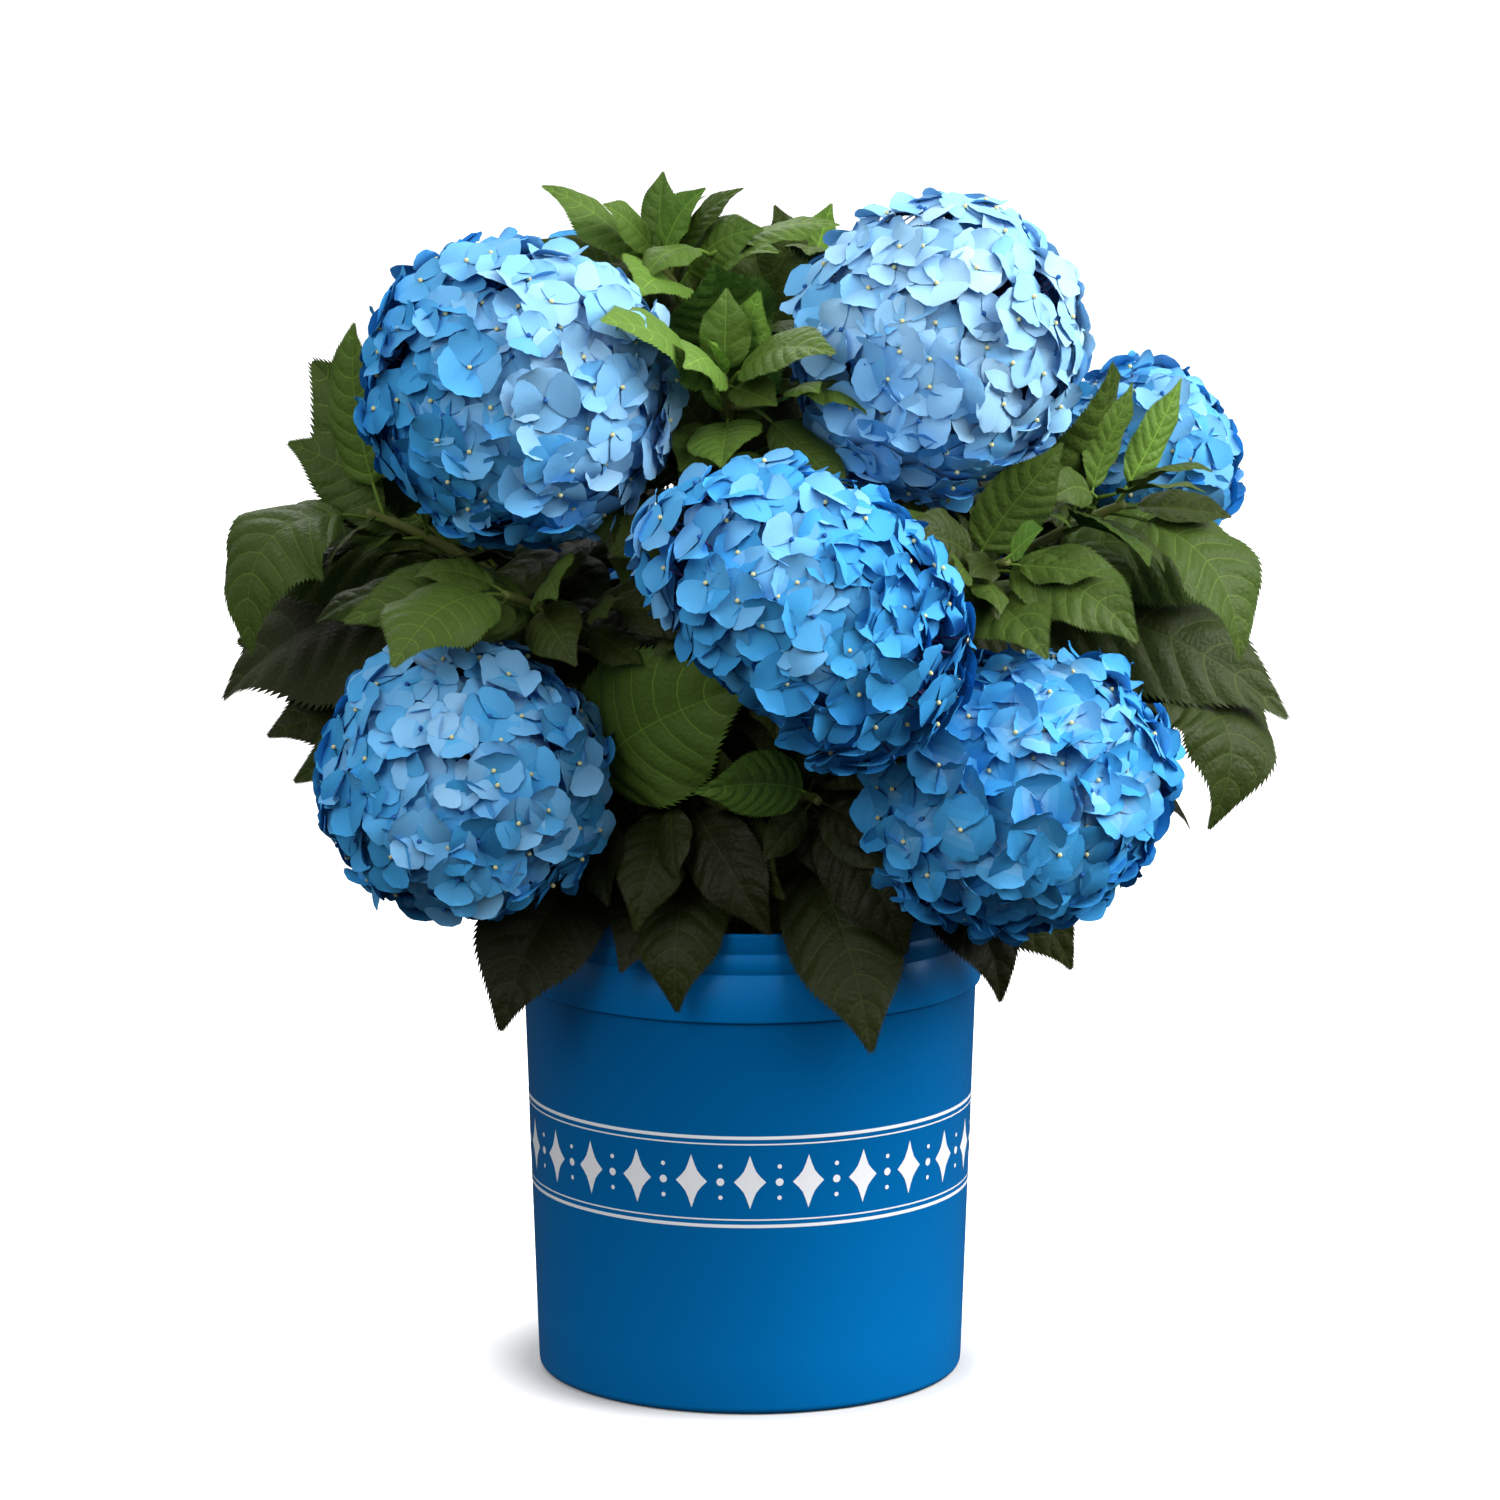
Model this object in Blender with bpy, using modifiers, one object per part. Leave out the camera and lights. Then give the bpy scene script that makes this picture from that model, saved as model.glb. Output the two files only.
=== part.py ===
"""A blue mophead hydrangea in a bucket-shaped pot, as separate solids.

Units are metres, +Z is up and the origin is the centre of the pot's flat underside. A bearing is degrees
round the pot's axis, 0 at the front (-Y) and 90 towards +X, and a rise is degrees above the level. Each
shoot is one curve from the soil to its tip: first a bare cane, then a leafy stretch, and on most a flower
head. Leaves stand in opposite pairs, and each pair is turned a quarter round from the one below it.
"""

import math
import random
from collections import namedtuple

import bmesh
import bpy
from mathutils import Vector
from mathutils.bvhtree import BVHTree

CLEARANCE = 0.0004  # between pieces that touch each other on the plant

# The pot: a straight-sided bucket with a banded rim that stands proud of the wall.
RIM_RADIUS = 0.1248
RIM_HEIGHT = 0.262
RIM_BAND = 0.048
WALL_TOP_RADIUS = 0.1222
WALL_FOOT_RADIUS = 0.1150
POT_WALL = 0.0024
POT_FLOOR = 0.003
FOOT_ROUNDING = 0.003
POT_LIP = 0.0012  # the chamfer along the rim's edges
POT_SIDES = 36

# The soil, and the old woody crown in its middle that the canes rise from.
SOIL_TOP = 0.246
SOIL_EDGE_DROP = 0.005
SOIL_FLAT_RADIUS = 0.085
CROWN_FLARE_RADIUS = 0.019
CROWN_NECK_RADIUS = 0.010
CROWN_HEIGHT = 0.022

# The shrub's dome.
DOME_CENTRE = Vector((0, 0, 0.42))
DOME_HALF_WIDTH = 0.290
DOME_TOP = 0.653
LOWEST_LEAF = 0.203
DOME_HALF_HEIGHTS = (0.225, 0.215)  # of the rounded crown, above and below its centre

# The canes: each leaves the soil upright and arrives at its tip along a raised aim.
CANE_HANDLE_SHARE = 0.42  # of the span from foot to tip
AIM_RISE_SHARE, AIM_RISE = 0.55, 14  # the aim's rise from the tip's own rise, then in degrees
CANE_FOOT_RADIUS = 0.0046
CANE_TIP_RADIUS = 0.0024
CANE_ROUNDNESS = 1  # a curve's bevel resolution: 1 gives six sides
TWIG_ROUNDNESS = 0  # and 0 gives four
FOOT_RINGS = ((30, 0.030), (4, 0.044), (-90, 0.058))  # shoots above this rise stand on this ring
CURVE_STEP = 0.030
CUT_LENGTH = 0.0015  # of the short stretch at each end that sets the way its flat cut faces

# Leaves and flower heads.
PETIOLE_SHARE = 0.17
PETIOLE_RADIUS = 0.0014
LEAF_THICKNESS = 0.0017
LEAF_WIDTH_SHARE = 0.32  # half the width over the whole length
LEAF_STATIONS = ((0.38, 0.98), (0.66, 0.76))  # how far along, and what share of the half width
LEAF_ARCH = 0.16  # how far a marked leaf's midrib rises off its chord, over the length
LEAF_BEND = 0.55  # how far along a leaf its midrib starts to droop
LEAF_TRIES = 12
LEAF_GAP = 0.0007
MARKED_NUDGE = 0.002  # how much further each new try moves a marked leaf's tip
PAIR_GAP = 0.006  # from the tip to the topmost pair
OUTWARD_FACING, UPWARD_FACING = 0.7, 0.45  # what a leaf's upper side turns to
FRONT_FACING = 0.45  # and a marked leaf's also to the front
ROOT_SHARE = 0.10  # the part of a leaf's stalk that may stand inside its own twig
STEEPEST_SPREAD = 80  # degrees between a leaf's stalk and its stem
OVER_A_HEAD = 0.75  # a leaf is in front of a head when the way off the head is this near to outwards
FLORET_RADIUS = 0.026
FLORETS_PER_HEAD = 16
FLORET_NOTCH = 0.70
FLORET_ROOT_SHARE = 0.70
CORE_SHARE = 0.82
FLORET_CUP = (0.96, 0.95)  # how deep a floret's middle and its notches lie in the head's surface
FULL_SIZE_HEAD = 0.075  # smaller heads have smaller florets
STALK_BARE_CONE = 145  # degrees from the head's crown that florets reach to

Shoot = namedtuple("Shoot", "bearing rise reach pairs leaf_length turn bare")
Head = namedtuple("Head", "across tall deep tilt")

# Shoots: where the tip lies from the dome's centre, then their leaves and how much of them is bare cane.
SHOOTS = {
    "upper_left": Shoot(315.6, 36.7, 0.209, 4, 0.115, 20, 0.46),
    "upper_right": Shoot(43.3, 46.6, 0.200, 4, 0.115, 70, 0.46),
    "far_right": Shoot(103, 18, 0.232, 4, 0.115, 10, 0.44),
    "centre": Shoot(6.8, 6.7, 0.212, 3, 0.105, 30, 0.40),
    "lower_left": Shoot(310.8, -21.1, 0.213, 3, 0.110, 55, 0.32),
    "lower_right": Shoot(48, -22.3, 0.212, 3, 0.110, 0, 0.32),
    "back_left": Shoot(218, 33, 0.205, 4, 0.115, 15, 0.46),
    "back_right": Shoot(147, 14, 0.210, 4, 0.115, 60, 0.44),
    "back_low": Shoot(192, -20, 0.212, 3, 0.115, 35, 0.32),
    "crown_top": Shoot(292, 74, 0.192, 5, 0.112, 40, 0.45),
    "middle": Shoot(354, 46, 0.186, 4, 0.098, 0, 0.50),
    "back_top": Shoot(165, 52, 0.195, 5, 0.115, 25, 0.45),
    "left_front": Shoot(317, 7, 0.188, 4, 0.100, 45, 0.46),
    "left": Shoot(278, 14, 0.212, 4, 0.125, 10, 0.42),
    "left_low": Shoot(266, -16, 0.200, 4, 0.125, 60, 0.34),
    "back_left_low": Shoot(234, -14, 0.205, 4, 0.125, 30, 0.34),
    "right_front": Shoot(44, 12, 0.195, 4, 0.098, 30, 0.48),
    "right": Shoot(76, 16, 0.212, 4, 0.125, 80, 0.42),
    "right_low": Shoot(88, -15, 0.200, 4, 0.120, 20, 0.34),
    "back_right_low": Shoot(131, -19, 0.200, 4, 0.125, 65, 0.34),
    "front_low_left": Shoot(341, -32, 0.158, 4, 0.105, 50, 0.30),
    "front_low_right": Shoot(15, -32, 0.162, 4, 0.105, 10, 0.30),
}

# Leaves with a place of their own: how far along the leafy stretch they stand, their tip, and their width.
MARKED_LEAVES = {
    "crown_top": (
        (1.00, (-0.046, -0.020, 0.651), 0.30),
        (0.97, (-0.109, -0.030, 0.645), 0.24),
        (0.95, (-0.004, -0.030, 0.644), 0.24),
        (0.80, (0.012, -0.060, 0.618), 0.28),
        (0.45, (0.022, -0.110, 0.585), 0.32),
    ),
    "middle": (
        (0.80, (-0.074, -0.200, 0.592), 0.28),
        (0.02, (0.006, -0.172, 0.566), 0.30),
        (0.95, (0.043, -0.184, 0.574), 0.26),
        (0.05, (-0.070, -0.165, 0.469), 0.30),
    ),
    "left_front": (
        (0.55, (-0.205, -0.152, 0.449), 0.28),
        (0.80, (-0.089, -0.172, 0.412), 0.34),
        (0.98, (-0.180, -0.215, 0.418), 0.36),
    ),
    "left": (
        (0.90, (-0.267, -0.060, 0.399), 0.34),
        (0.70, (-0.248, 0.000, 0.506), 0.30),
        (0.55, (-0.228, 0.010, 0.562), 0.28),
        (0.60, (-0.286, 0.035, 0.430), 0.30),
    ),
    "left_low": (
        (0.75, (-0.282, 0.045, 0.368), 0.28),
        (0.55, (-0.257, -0.050, 0.352), 0.26),
        (0.45, (-0.240, -0.050, 0.326), 0.28),
    ),
    "lower_left": (
        (0.92, (0.001, -0.190, 0.404), 0.38),
        (0.15, (-0.133, -0.130, 0.214), 0.34),
    ),
    "front_low_left": (
        (0.60, (-0.059, -0.150, 0.269), 0.34),
        (0.70, (0.010, -0.160, 0.268), 0.28),
        (0.20, (-0.041, -0.147, 0.226), 0.34),
    ),
    "front_low_right": (
        (0.95, (-0.028, -0.205, 0.352), 0.32),
        (0.65, (0.082, -0.152, 0.256), 0.34),
        (0.25, (0.063, -0.157, 0.206), 0.34),
    ),
    "lower_right": (
        (0.25, (0.137, -0.120, 0.222), 0.30),
        (0.40, (0.180, -0.070, 0.238), 0.26),
    ),
    "right_front": (
        (0.85, (0.078, -0.172, 0.478), 0.34),
        (0.85, (0.200, -0.162, 0.424), 0.32),
        (0.60, (0.150, -0.195, 0.424), 0.32),
    ),
    "right": (
        (0.95, (0.260, -0.080, 0.400), 0.34),
        (0.60, (0.274, -0.020, 0.428), 0.30),
        (0.30, (0.288, -0.025, 0.359), 0.28),
        (0.98, (0.228, -0.035, 0.543), 0.26),
        (0.80, (0.188, -0.085, 0.557), 0.34),
    ),
    "right_low": (
        (0.80, (0.250, -0.060, 0.304), 0.32),
    ),
}

# Flower heads: their half sizes across, up and front to back, and how far the long side leans to the right.
HEADS = {
    "upper_left": Head(0.085, 0.081, 0.080, 0),
    "upper_right": Head(0.077, 0.080, 0.075, 0),
    "far_right": Head(0.054, 0.054, 0.054, 0),
    "centre": Head(0.100, 0.071, 0.070, 30),
    "lower_left": Head(0.082, 0.077, 0.077, 0),
    "lower_right": Head(0.087, 0.075, 0.074, 0),
    "back_left": Head(0.082, 0.080, 0.079, 0),
    "back_right": Head(0.080, 0.077, 0.077, 0),
    "back_low": Head(0.078, 0.074, 0.074, 0),
}

COLOURS = {
    "pot": (0.010, 0.120, 0.400),
    "soil": (0.030, 0.020, 0.014),
    "cane": (0.120, 0.130, 0.050),
    "leaf": (0.050, 0.095, 0.018),
    "petal": (0.110, 0.380, 0.780),
}
ROUGHNESS = {"pot": 0.35, "soil": 0.95, "cane": 0.7, "leaf": 0.5, "petal": 0.6}


# ---- scene and materials -------------------------------------------------------------------------------


def clear_scene():
    for obj in list(bpy.data.objects):
        bpy.data.objects.remove(obj)


def principled(name):
    material = bpy.data.materials.new(name)
    material.use_nodes = True
    shader = material.node_tree.nodes["Principled BSDF"]
    shader.inputs["Base Color"].default_value = (*COLOURS[name], 1)
    shader.inputs["Roughness"].default_value = ROUGHNESS[name]
    material.diffuse_color = (*COLOURS[name], 1)
    return material


def add_object(name, data, material):
    obj = bpy.data.objects.new(name, data)
    plant_collection.objects.link(obj)
    if material:
        data.materials.append(material)
    return obj


# ---- the pot, the soil and the woody crown ----------------------------------------------------------------


def turned(name, profile, sides, material):
    """A turned solid: the profile, (radius, height) from the top to the bottom, goes once round the axis."""
    mesh = bpy.data.meshes.new(name)
    links = [(i, i + 1) for i in range(len(profile) - 1)]
    mesh.from_pydata([(radius, 0, height) for radius, height in profile], links, [])
    obj = add_object(name, mesh, material)
    screw = obj.modifiers.new("turn", "SCREW")
    screw.steps = sides
    screw.render_steps = sides
    screw.use_merge_vertices = True
    screw.merge_threshold = 0.0001
    return obj


def wall_radius(height):
    """The pot wall's outer radius under the rim band."""
    share = height / (RIM_HEIGHT - RIM_BAND)
    return WALL_FOOT_RADIUS + (WALL_TOP_RADIUS - WALL_FOOT_RADIUS) * share


def inner_radius(height):
    return wall_radius(height) - POT_WALL


def pot_profile():
    band_foot = RIM_HEIGHT - RIM_BAND
    points = [(0, POT_FLOOR), (inner_radius(POT_FLOOR), POT_FLOOR)]
    points.append((inner_radius(RIM_HEIGHT - POT_LIP), RIM_HEIGHT - POT_LIP))
    points.append((inner_radius(RIM_HEIGHT) + POT_LIP, RIM_HEIGHT))
    points.append((RIM_RADIUS - POT_LIP, RIM_HEIGHT))
    points.append((RIM_RADIUS, RIM_HEIGHT - POT_LIP))
    points.append((RIM_RADIUS, band_foot + POT_LIP))
    points.append((RIM_RADIUS - POT_LIP, band_foot))
    points.append((wall_radius(band_foot), band_foot))
    points.append((wall_radius(FOOT_ROUNDING), FOOT_ROUNDING))
    points.append((wall_radius(0) - FOOT_ROUNDING / 3, FOOT_ROUNDING / 3))
    points.append((wall_radius(0) - FOOT_ROUNDING, 0))
    points.append((0, 0))
    return points


def soil_profile():
    edge = SOIL_TOP - SOIL_EDGE_DROP
    base = POT_FLOOR + CLEARANCE
    return [
        (0, SOIL_TOP),
        (SOIL_FLAT_RADIUS, SOIL_TOP),
        (inner_radius(edge) - CLEARANCE, edge),
        (inner_radius(base) - CLEARANCE, base),
        (0, base),
    ]


def woody_crown_profile():
    base = SOIL_TOP + CLEARANCE
    top = base + CROWN_HEIGHT
    return [
        (0, top),
        (CROWN_NECK_RADIUS * 0.8, top),
        (CROWN_NECK_RADIUS, top - CROWN_HEIGHT * 0.2),
        (CROWN_NECK_RADIUS * 1.15, base + CROWN_HEIGHT * 0.4),
        (CROWN_FLARE_RADIUS, base + CROWN_HEIGHT * 0.08),
        (CROWN_FLARE_RADIUS, base),
        (0, base),
    ]


# ---- shoots as curves -------------------------------------------------------------------------------------


def toward(bearing, rise):
    """A unit vector that way."""
    turn, lift = math.radians(bearing), math.radians(rise)
    flat = math.cos(lift)
    return Vector((math.sin(turn) * flat, -math.cos(turn) * flat, math.sin(lift)))


def tip_of(name):
    shoot = SHOOTS[name]
    return DOME_CENTRE + shoot.reach * toward(shoot.bearing, shoot.rise)


class Path:
    """A shoot's axis: a cubic Bezier that leaves the ground upright and arrives aimed outwards."""

    SAMPLES = 80

    def __init__(self, name):
        shoot = SHOOTS[name]
        self.foot = self.foot_of(name, shoot)
        self.tip = tip_of(name)
        aim = toward(shoot.bearing, AIM_RISE_SHARE * shoot.rise + AIM_RISE)
        reach = CANE_HANDLE_SHARE * (self.tip - self.foot).length
        rise_handle = self.foot + Vector((0, 0, reach))
        aim_handle = self.tip - aim * reach
        self.handles = (self.foot, rise_handle, aim_handle, self.tip)
        self.points = [self.bezier(i / self.SAMPLES) for i in range(self.SAMPLES + 1)]
        self.lengths = [0.0]
        for before, after in zip(self.points, self.points[1:]):
            self.lengths.append(self.lengths[-1] + (after - before).length)
        self.length = self.lengths[-1]

    def foot_of(self, name, shoot):
        if name == "crown_top":
            return Vector((0, 0, SOIL_TOP + CROWN_HEIGHT + 2 * CLEARANCE))
        ring = next(radius for least_rise, radius in FOOT_RINGS if shoot.rise > least_rise)
        foot = ring * toward(shoot.bearing, 0)
        foot.z = SOIL_TOP + CLEARANCE
        return foot

    def bezier(self, t):
        a, b, c, d = self.handles
        u = 1 - t
        return u**3 * a + 3 * u * u * t * b + 3 * u * t * t * c + t**3 * d

    def at(self, distance):
        """The point that far along."""
        distance = min(max(distance, 0), self.length)
        i = next((k for k, length in enumerate(self.lengths) if length >= distance), self.SAMPLES)
        i = max(i, 1)
        share = (distance - self.lengths[i - 1]) / (self.lengths[i] - self.lengths[i - 1])
        return self.points[i - 1].lerp(self.points[i], share)

    def tangent(self, distance):
        return (self.at(distance + 0.002) - self.at(distance - 0.002)).normalized()

    def radius(self, distance):
        share = distance / self.length
        return CANE_FOOT_RADIUS + (CANE_TIP_RADIUS - CANE_FOOT_RADIUS) * share


def cane_curve(name, path, start, end, roundness):
    """A tapering tube with filled caps along that stretch of the path."""
    steps = max(1, round((end - start) / CURVE_STEP))
    distances = [start + (end - start) * i / steps for i in range(steps + 1)]
    distances = [start, start + CUT_LENGTH, *distances[1:-1], end - CUT_LENGTH, end]
    curve = bpy.data.curves.new(name, "CURVE")
    curve.dimensions = "3D"
    curve.bevel_depth = 1
    curve.bevel_resolution = roundness
    curve.use_fill_caps = True
    spline = curve.splines.new("POLY")
    spline.points.add(len(distances) - 1)
    for distance, point in zip(distances, spline.points):
        point.co = (*path.at(distance), 1)
        point.radius = path.radius(distance)
    return add_object(name, curve, None)


def as_mesh(obj, material=None):
    """Makes a curve a plain closed mesh of triangles, and removes the curve."""
    evaluated = obj.evaluated_get(bpy.context.evaluated_depsgraph_get())
    mesh = bpy.data.meshes.new_from_object(evaluated)
    work = bmesh.new()
    work.from_mesh(mesh)
    bmesh.ops.remove_doubles(work, verts=work.verts, dist=0.00001)
    bmesh.ops.triangulate(work, faces=work.faces)
    bmesh.ops.recalc_face_normals(work, faces=work.faces)
    work.to_mesh(mesh)
    work.free()
    mesh.materials.clear()
    name, place = obj.name, obj.matrix_world.copy()
    bpy.data.objects.remove(obj)
    made = add_object(name, mesh, material)
    made.matrix_world = place
    return made


# ---- leaves -----------------------------------------------------------------------------------------------


def facing_at(place, front):
    """The way a leaf's upper side turns there: out of the dome and up, and off a head that it lies on."""
    outwards = (place - DOME_CENTRE).normalized()
    facing = outwards * OUTWARD_FACING + Vector((0, -front, UPWARD_FACING))
    if front:
        nearest = min((tip_of(name) for name in HEADS), key=lambda centre: (place - centre).length)
        away = (place - nearest).normalized()
        if away.dot(outwards) > OVER_A_HEAD:
            facing += away
    return facing


class Leaf:
    """A leaf on a shoot: its midrib is a quadratic Bezier from the stem through a high point to the tip."""

    def __init__(self, root, high, tip, width_share=LEAF_WIDTH_SHARE, roll=0.0, front=0.0):
        self.root, self.high, self.tip = root, high, tip
        self.length = (high - root).length * 0.5 + (tip - high).length * 0.5 + (tip - root).length * 0.5
        self.half_width = self.length * width_share
        self.across = (tip - root).cross(facing_at((root + tip) / 2, front)).normalized()
        self.roll = roll

    def point(self, t):
        u = 1 - t
        return u * u * self.root + 2 * u * t * self.high + t * t * self.tip

    def frame(self, t):
        """(along, across, up) of the blade there."""
        along = (self.point(min(t + 0.02, 1)) - self.point(max(t - 0.02, 0))).normalized()
        across = (self.across - along * self.across.dot(along)).normalized()
        up = across.cross(along)
        turned_across = across * math.cos(self.roll) + up * math.sin(self.roll)
        return along, turned_across, turned_across.cross(along)

    def solid(self, margin=0.0, from_share=0.0):
        """(points, triangles) of a closed three-sided loft, grown by a margin to test what it would touch."""
        rings = []
        for t, half in ((from_share, PETIOLE_RADIUS), (PETIOLE_SHARE, PETIOLE_RADIUS)):
            place = self.point(t)
            _, across, up = self.frame(t)
            grown = half + margin
            rings.append([place + across * grown, place - across * grown, place - up * grown])
        for t, share in LEAF_STATIONS:
            place = self.point(t)
            _, across, up = self.frame(t)
            grown = self.half_width * share + margin
            under = place - up * (LEAF_THICKNESS + margin)
            top = place + up * margin
            rings.append([top + across * grown, top - across * grown, under])
        tip = self.point(1) + (self.point(1) - self.point(0.97)).normalized() * margin
        points = [corner for ring in rings for corner in ring] + [tip]
        faces = [(2, 1, 0)]
        for ring in range(len(rings) - 1):
            for side in range(3):
                a = ring * 3 + side
                b = ring * 3 + (side + 1) % 3
                faces += [(a, b, b + 3), (a, b + 3, a + 3)]
        last = (len(rings) - 1) * 3
        for side in range(3):
            faces.append((last + side, last + (side + 1) % 3, len(points) - 1))
        return points, faces


def leaf_on(path, distance, around, length, spread, droop, sway):
    """A leaf at that distance along the shoot, that many degrees round it, drooping by that share."""
    root = path.at(distance)
    along = path.tangent(distance)
    side = along.cross(Vector((0, 0, 1)))
    if side.length < 0.1:
        side = Vector((1, 0, 0))
    side.normalize()
    lift = side.cross(along)
    turn = math.radians(around)
    outwards = side * math.cos(turn) + lift * math.sin(turn)
    opening = math.radians(spread)
    start = along * math.cos(opening) + outwards * math.sin(opening)
    high = root + start * length * LEAF_BEND
    level = Vector((start.x, start.y, 0)).normalized()
    hanging = level * 0.6 - Vector((0, 0, 1))
    late = (start * (1 - droop) + hanging * droop).normalized()
    tip = high + late * length * 0.5
    return Leaf(root, high, tip, LEAF_WIDTH_SHARE, math.radians(sway))


def marked_leaf(path, distance, tip, width_share, arch):
    """A leaf from that distance along the shoot to the tip, arched outwards and up."""
    root = path.at(distance)
    chord = tip - root
    outwards = (root.lerp(tip, 0.5) - DOME_CENTRE).normalized()
    rise = (outwards + Vector((0, 0, 1))).normalized()
    rise -= chord.normalized() * rise.dot(chord.normalized())
    high = root.lerp(tip, 0.5) + rise * 2 * arch * chord.length
    return Leaf(root, high, tip, width_share, front=FRONT_FACING)


def inside_box(leaf):
    tip = leaf.tip
    spread = math.hypot(tip.x, tip.y)
    return spread < DOME_HALF_WIDTH and LOWEST_LEAF < tip.z < DOME_TOP


def inside_dome(leaf):
    """Whether the leaf ends inside the rounded crown."""
    tip = leaf.tip - DOME_CENTRE
    half_height = DOME_HALF_HEIGHTS[0] if tip.z > 0 else DOME_HALF_HEIGHTS[1]
    spread = math.hypot(tip.x, tip.y) / DOME_HALF_WIDTH
    return math.hypot(spread, tip.z / half_height) < 1


def bounds_of(points):
    low = Vector([min(point[i] for point in points) for i in range(3)])
    high = Vector([max(point[i] for point in points) for i in range(3)])
    return low, high


class Space:
    """What stands already, as search trees with their owners, so that a new leaf can be tested."""

    def __init__(self):
        self.trees = []

    def add(self, owner, points, faces):
        self.trees.append((owner, *bounds_of(points), BVHTree.FromPolygons(points, faces)))

    def add_object(self, owner, obj):
        evaluated = obj.evaluated_get(bpy.context.evaluated_depsgraph_get())
        mesh = evaluated.to_mesh()
        corners = [vertex.co.copy() for vertex in mesh.vertices]
        self.add(owner, corners, [tuple(face.vertices) for face in mesh.polygons])
        evaluated.to_mesh_clear()

    def touches(self, points, faces, wanted):
        low, high = bounds_of(points)
        tree = None
        for owner, other_low, other_high, other in self.trees:
            if not wanted(owner):
                continue
            if any(low[i] > other_high[i] or high[i] < other_low[i] for i in range(3)):
                continue
            tree = tree or BVHTree.FromPolygons(points, faces)
            if tree.overlap(other):
                return True
        return False

    def takes(self, name, leaf):
        """Whether the leaf is clear of the other shoots, and its blade clear of its own. It is then added."""
        stalks = name + " stalks"
        if self.touches(*leaf.solid(LEAF_GAP), lambda owner: owner not in (name, stalks)):
            return False
        if self.touches(*leaf.solid(LEAF_GAP, ROOT_SHARE), lambda owner: owner == name):
            return False
        self.add(name, *leaf.solid(0.0, ROOT_SHARE))
        self.add(stalks, *leaf.solid())
        return True


def leaf_pairs(name, start, end):
    """(distance, degrees round, length, spread, droop) of each leaf on a shoot, from the tip down."""
    shoot = SHOOTS[name]
    flowering = name in HEADS
    chance = random.Random(name)
    leaves = []
    for pair in range(shoot.pairs):
        share = pair / max(shoot.pairs - 1, 1)
        from_tip = share**1.15 if flowering else share**1.5
        distance = end - PAIR_GAP - (end - start - PAIR_GAP - 0.010) * from_tip
        if flowering:
            length = shoot.leaf_length * (0.92 + 0.10 * share)
            spread = 62 + 8 * share
            droop = 0.7
        else:
            length = shoot.leaf_length * (0.56 + 0.50 * min(1, share * 1.5))
            spread = 34 + 34 * share
            droop = 0.3 + 0.4 * share
        for half in (0, 180):
            around = shoot.turn + 90 * pair + half + chance.uniform(-12, 12)
            leaves.append((distance, around, length * chance.uniform(0.92, 1.06), spread, droop))
    return leaves


def grow_marked_leaves(paths, spans, space, grown):
    for name, rows in MARKED_LEAVES.items():
        start, end = spans[name]
        for share, tip, width in rows:
            for attempt in range(LEAF_TRIES):
                nudge = MARKED_NUDGE * attempt
                chance = random.Random(f"{name} {tip} {attempt}")
                moved = Vector([place + chance.uniform(-nudge, nudge) for place in tip])
                distance = start + 0.005 + (end - start - 0.008) * share * (1 - 0.02 * attempt)
                arch = LEAF_ARCH * (1 - 0.06 * attempt)
                leaf = marked_leaf(paths[name], distance, moved, width, arch)
                if inside_box(leaf) and space.takes(name, leaf):
                    grown[name].append(leaf)
                    break
            else:
                print("no room for the marked leaf", name, share, tip)


def grow_paired_leaves(paths, spans, space, grown):
    """Each leaf is tried in several attitudes, and left out if all of them touch something."""
    planned = []
    for name in paths:
        for order, row in enumerate(leaf_pairs(name, *spans[name])):
            planned.append((order, name, row))
    planned.sort(key=lambda entry: (entry[0], entry[1]))
    for order, name, (distance, around, length, spread, droop) in planned:
        chance = random.Random(f"{name} {order}")
        for attempt in range(LEAF_TRIES):
            leaf = leaf_on(
                paths[name],
                distance,
                around + chance.uniform(-8, 8) * attempt,
                length * (1 - 0.035 * attempt),
                min(spread + chance.uniform(-5, 5) * attempt, STEEPEST_SPREAD),
                droop + chance.uniform(-0.25, 0.25),
                chance.uniform(-16, 16),
            )
            if inside_dome(leaf) and space.takes(name, leaf):
                grown[name].append(leaf)
                break


# ---- flower heads -----------------------------------------------------------------------------------------


def head_axes(name):
    """(across, up, front) unit vectors of a head: it faces out of the dome, and may lean."""
    facing = toward(SHOOTS[name].bearing, 0)
    across = Vector((0, 0, 1)).cross(facing).normalized()
    across = -across if across.dot(Vector((1, 0, 0))) < 0 else across
    up = Vector((0, 0, 1))
    lean = math.radians(HEADS[name].tilt)
    leaned_across = across * math.cos(lean) - up * math.sin(lean)
    leaned_up = across * math.sin(lean) + up * math.cos(lean)
    return leaned_across, leaned_up, facing


def head_point(name, direction, share):
    """The point of the head's ellipsoid that way, scaled by the share."""
    head = HEADS[name]
    across, up, front = head_axes(name)
    a, b, c = direction.dot(across), direction.dot(up), direction.dot(front)
    radius = 1 / math.sqrt((a / head.across) ** 2 + (b / head.tall) ** 2 + (c / head.deep) ** 2)
    return direction * radius * share


def spread_directions(count, axis):
    """Directions spread evenly over a globe, leaving out a cone round the stalk."""
    lowest = math.cos(math.radians(STALK_BARE_CONE))
    first = axis.orthogonal().normalized()
    second = axis.cross(first)
    golden = math.pi * (3 - math.sqrt(5))
    found = []
    for i in range(count):
        height = 1 - (1 - lowest) * (i + 0.5) / count
        flat = math.sqrt(1 - height * height)
        turn = golden * i
        found.append(axis * height + first * flat * math.cos(turn) + second * flat * math.sin(turn))
    return found


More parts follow.
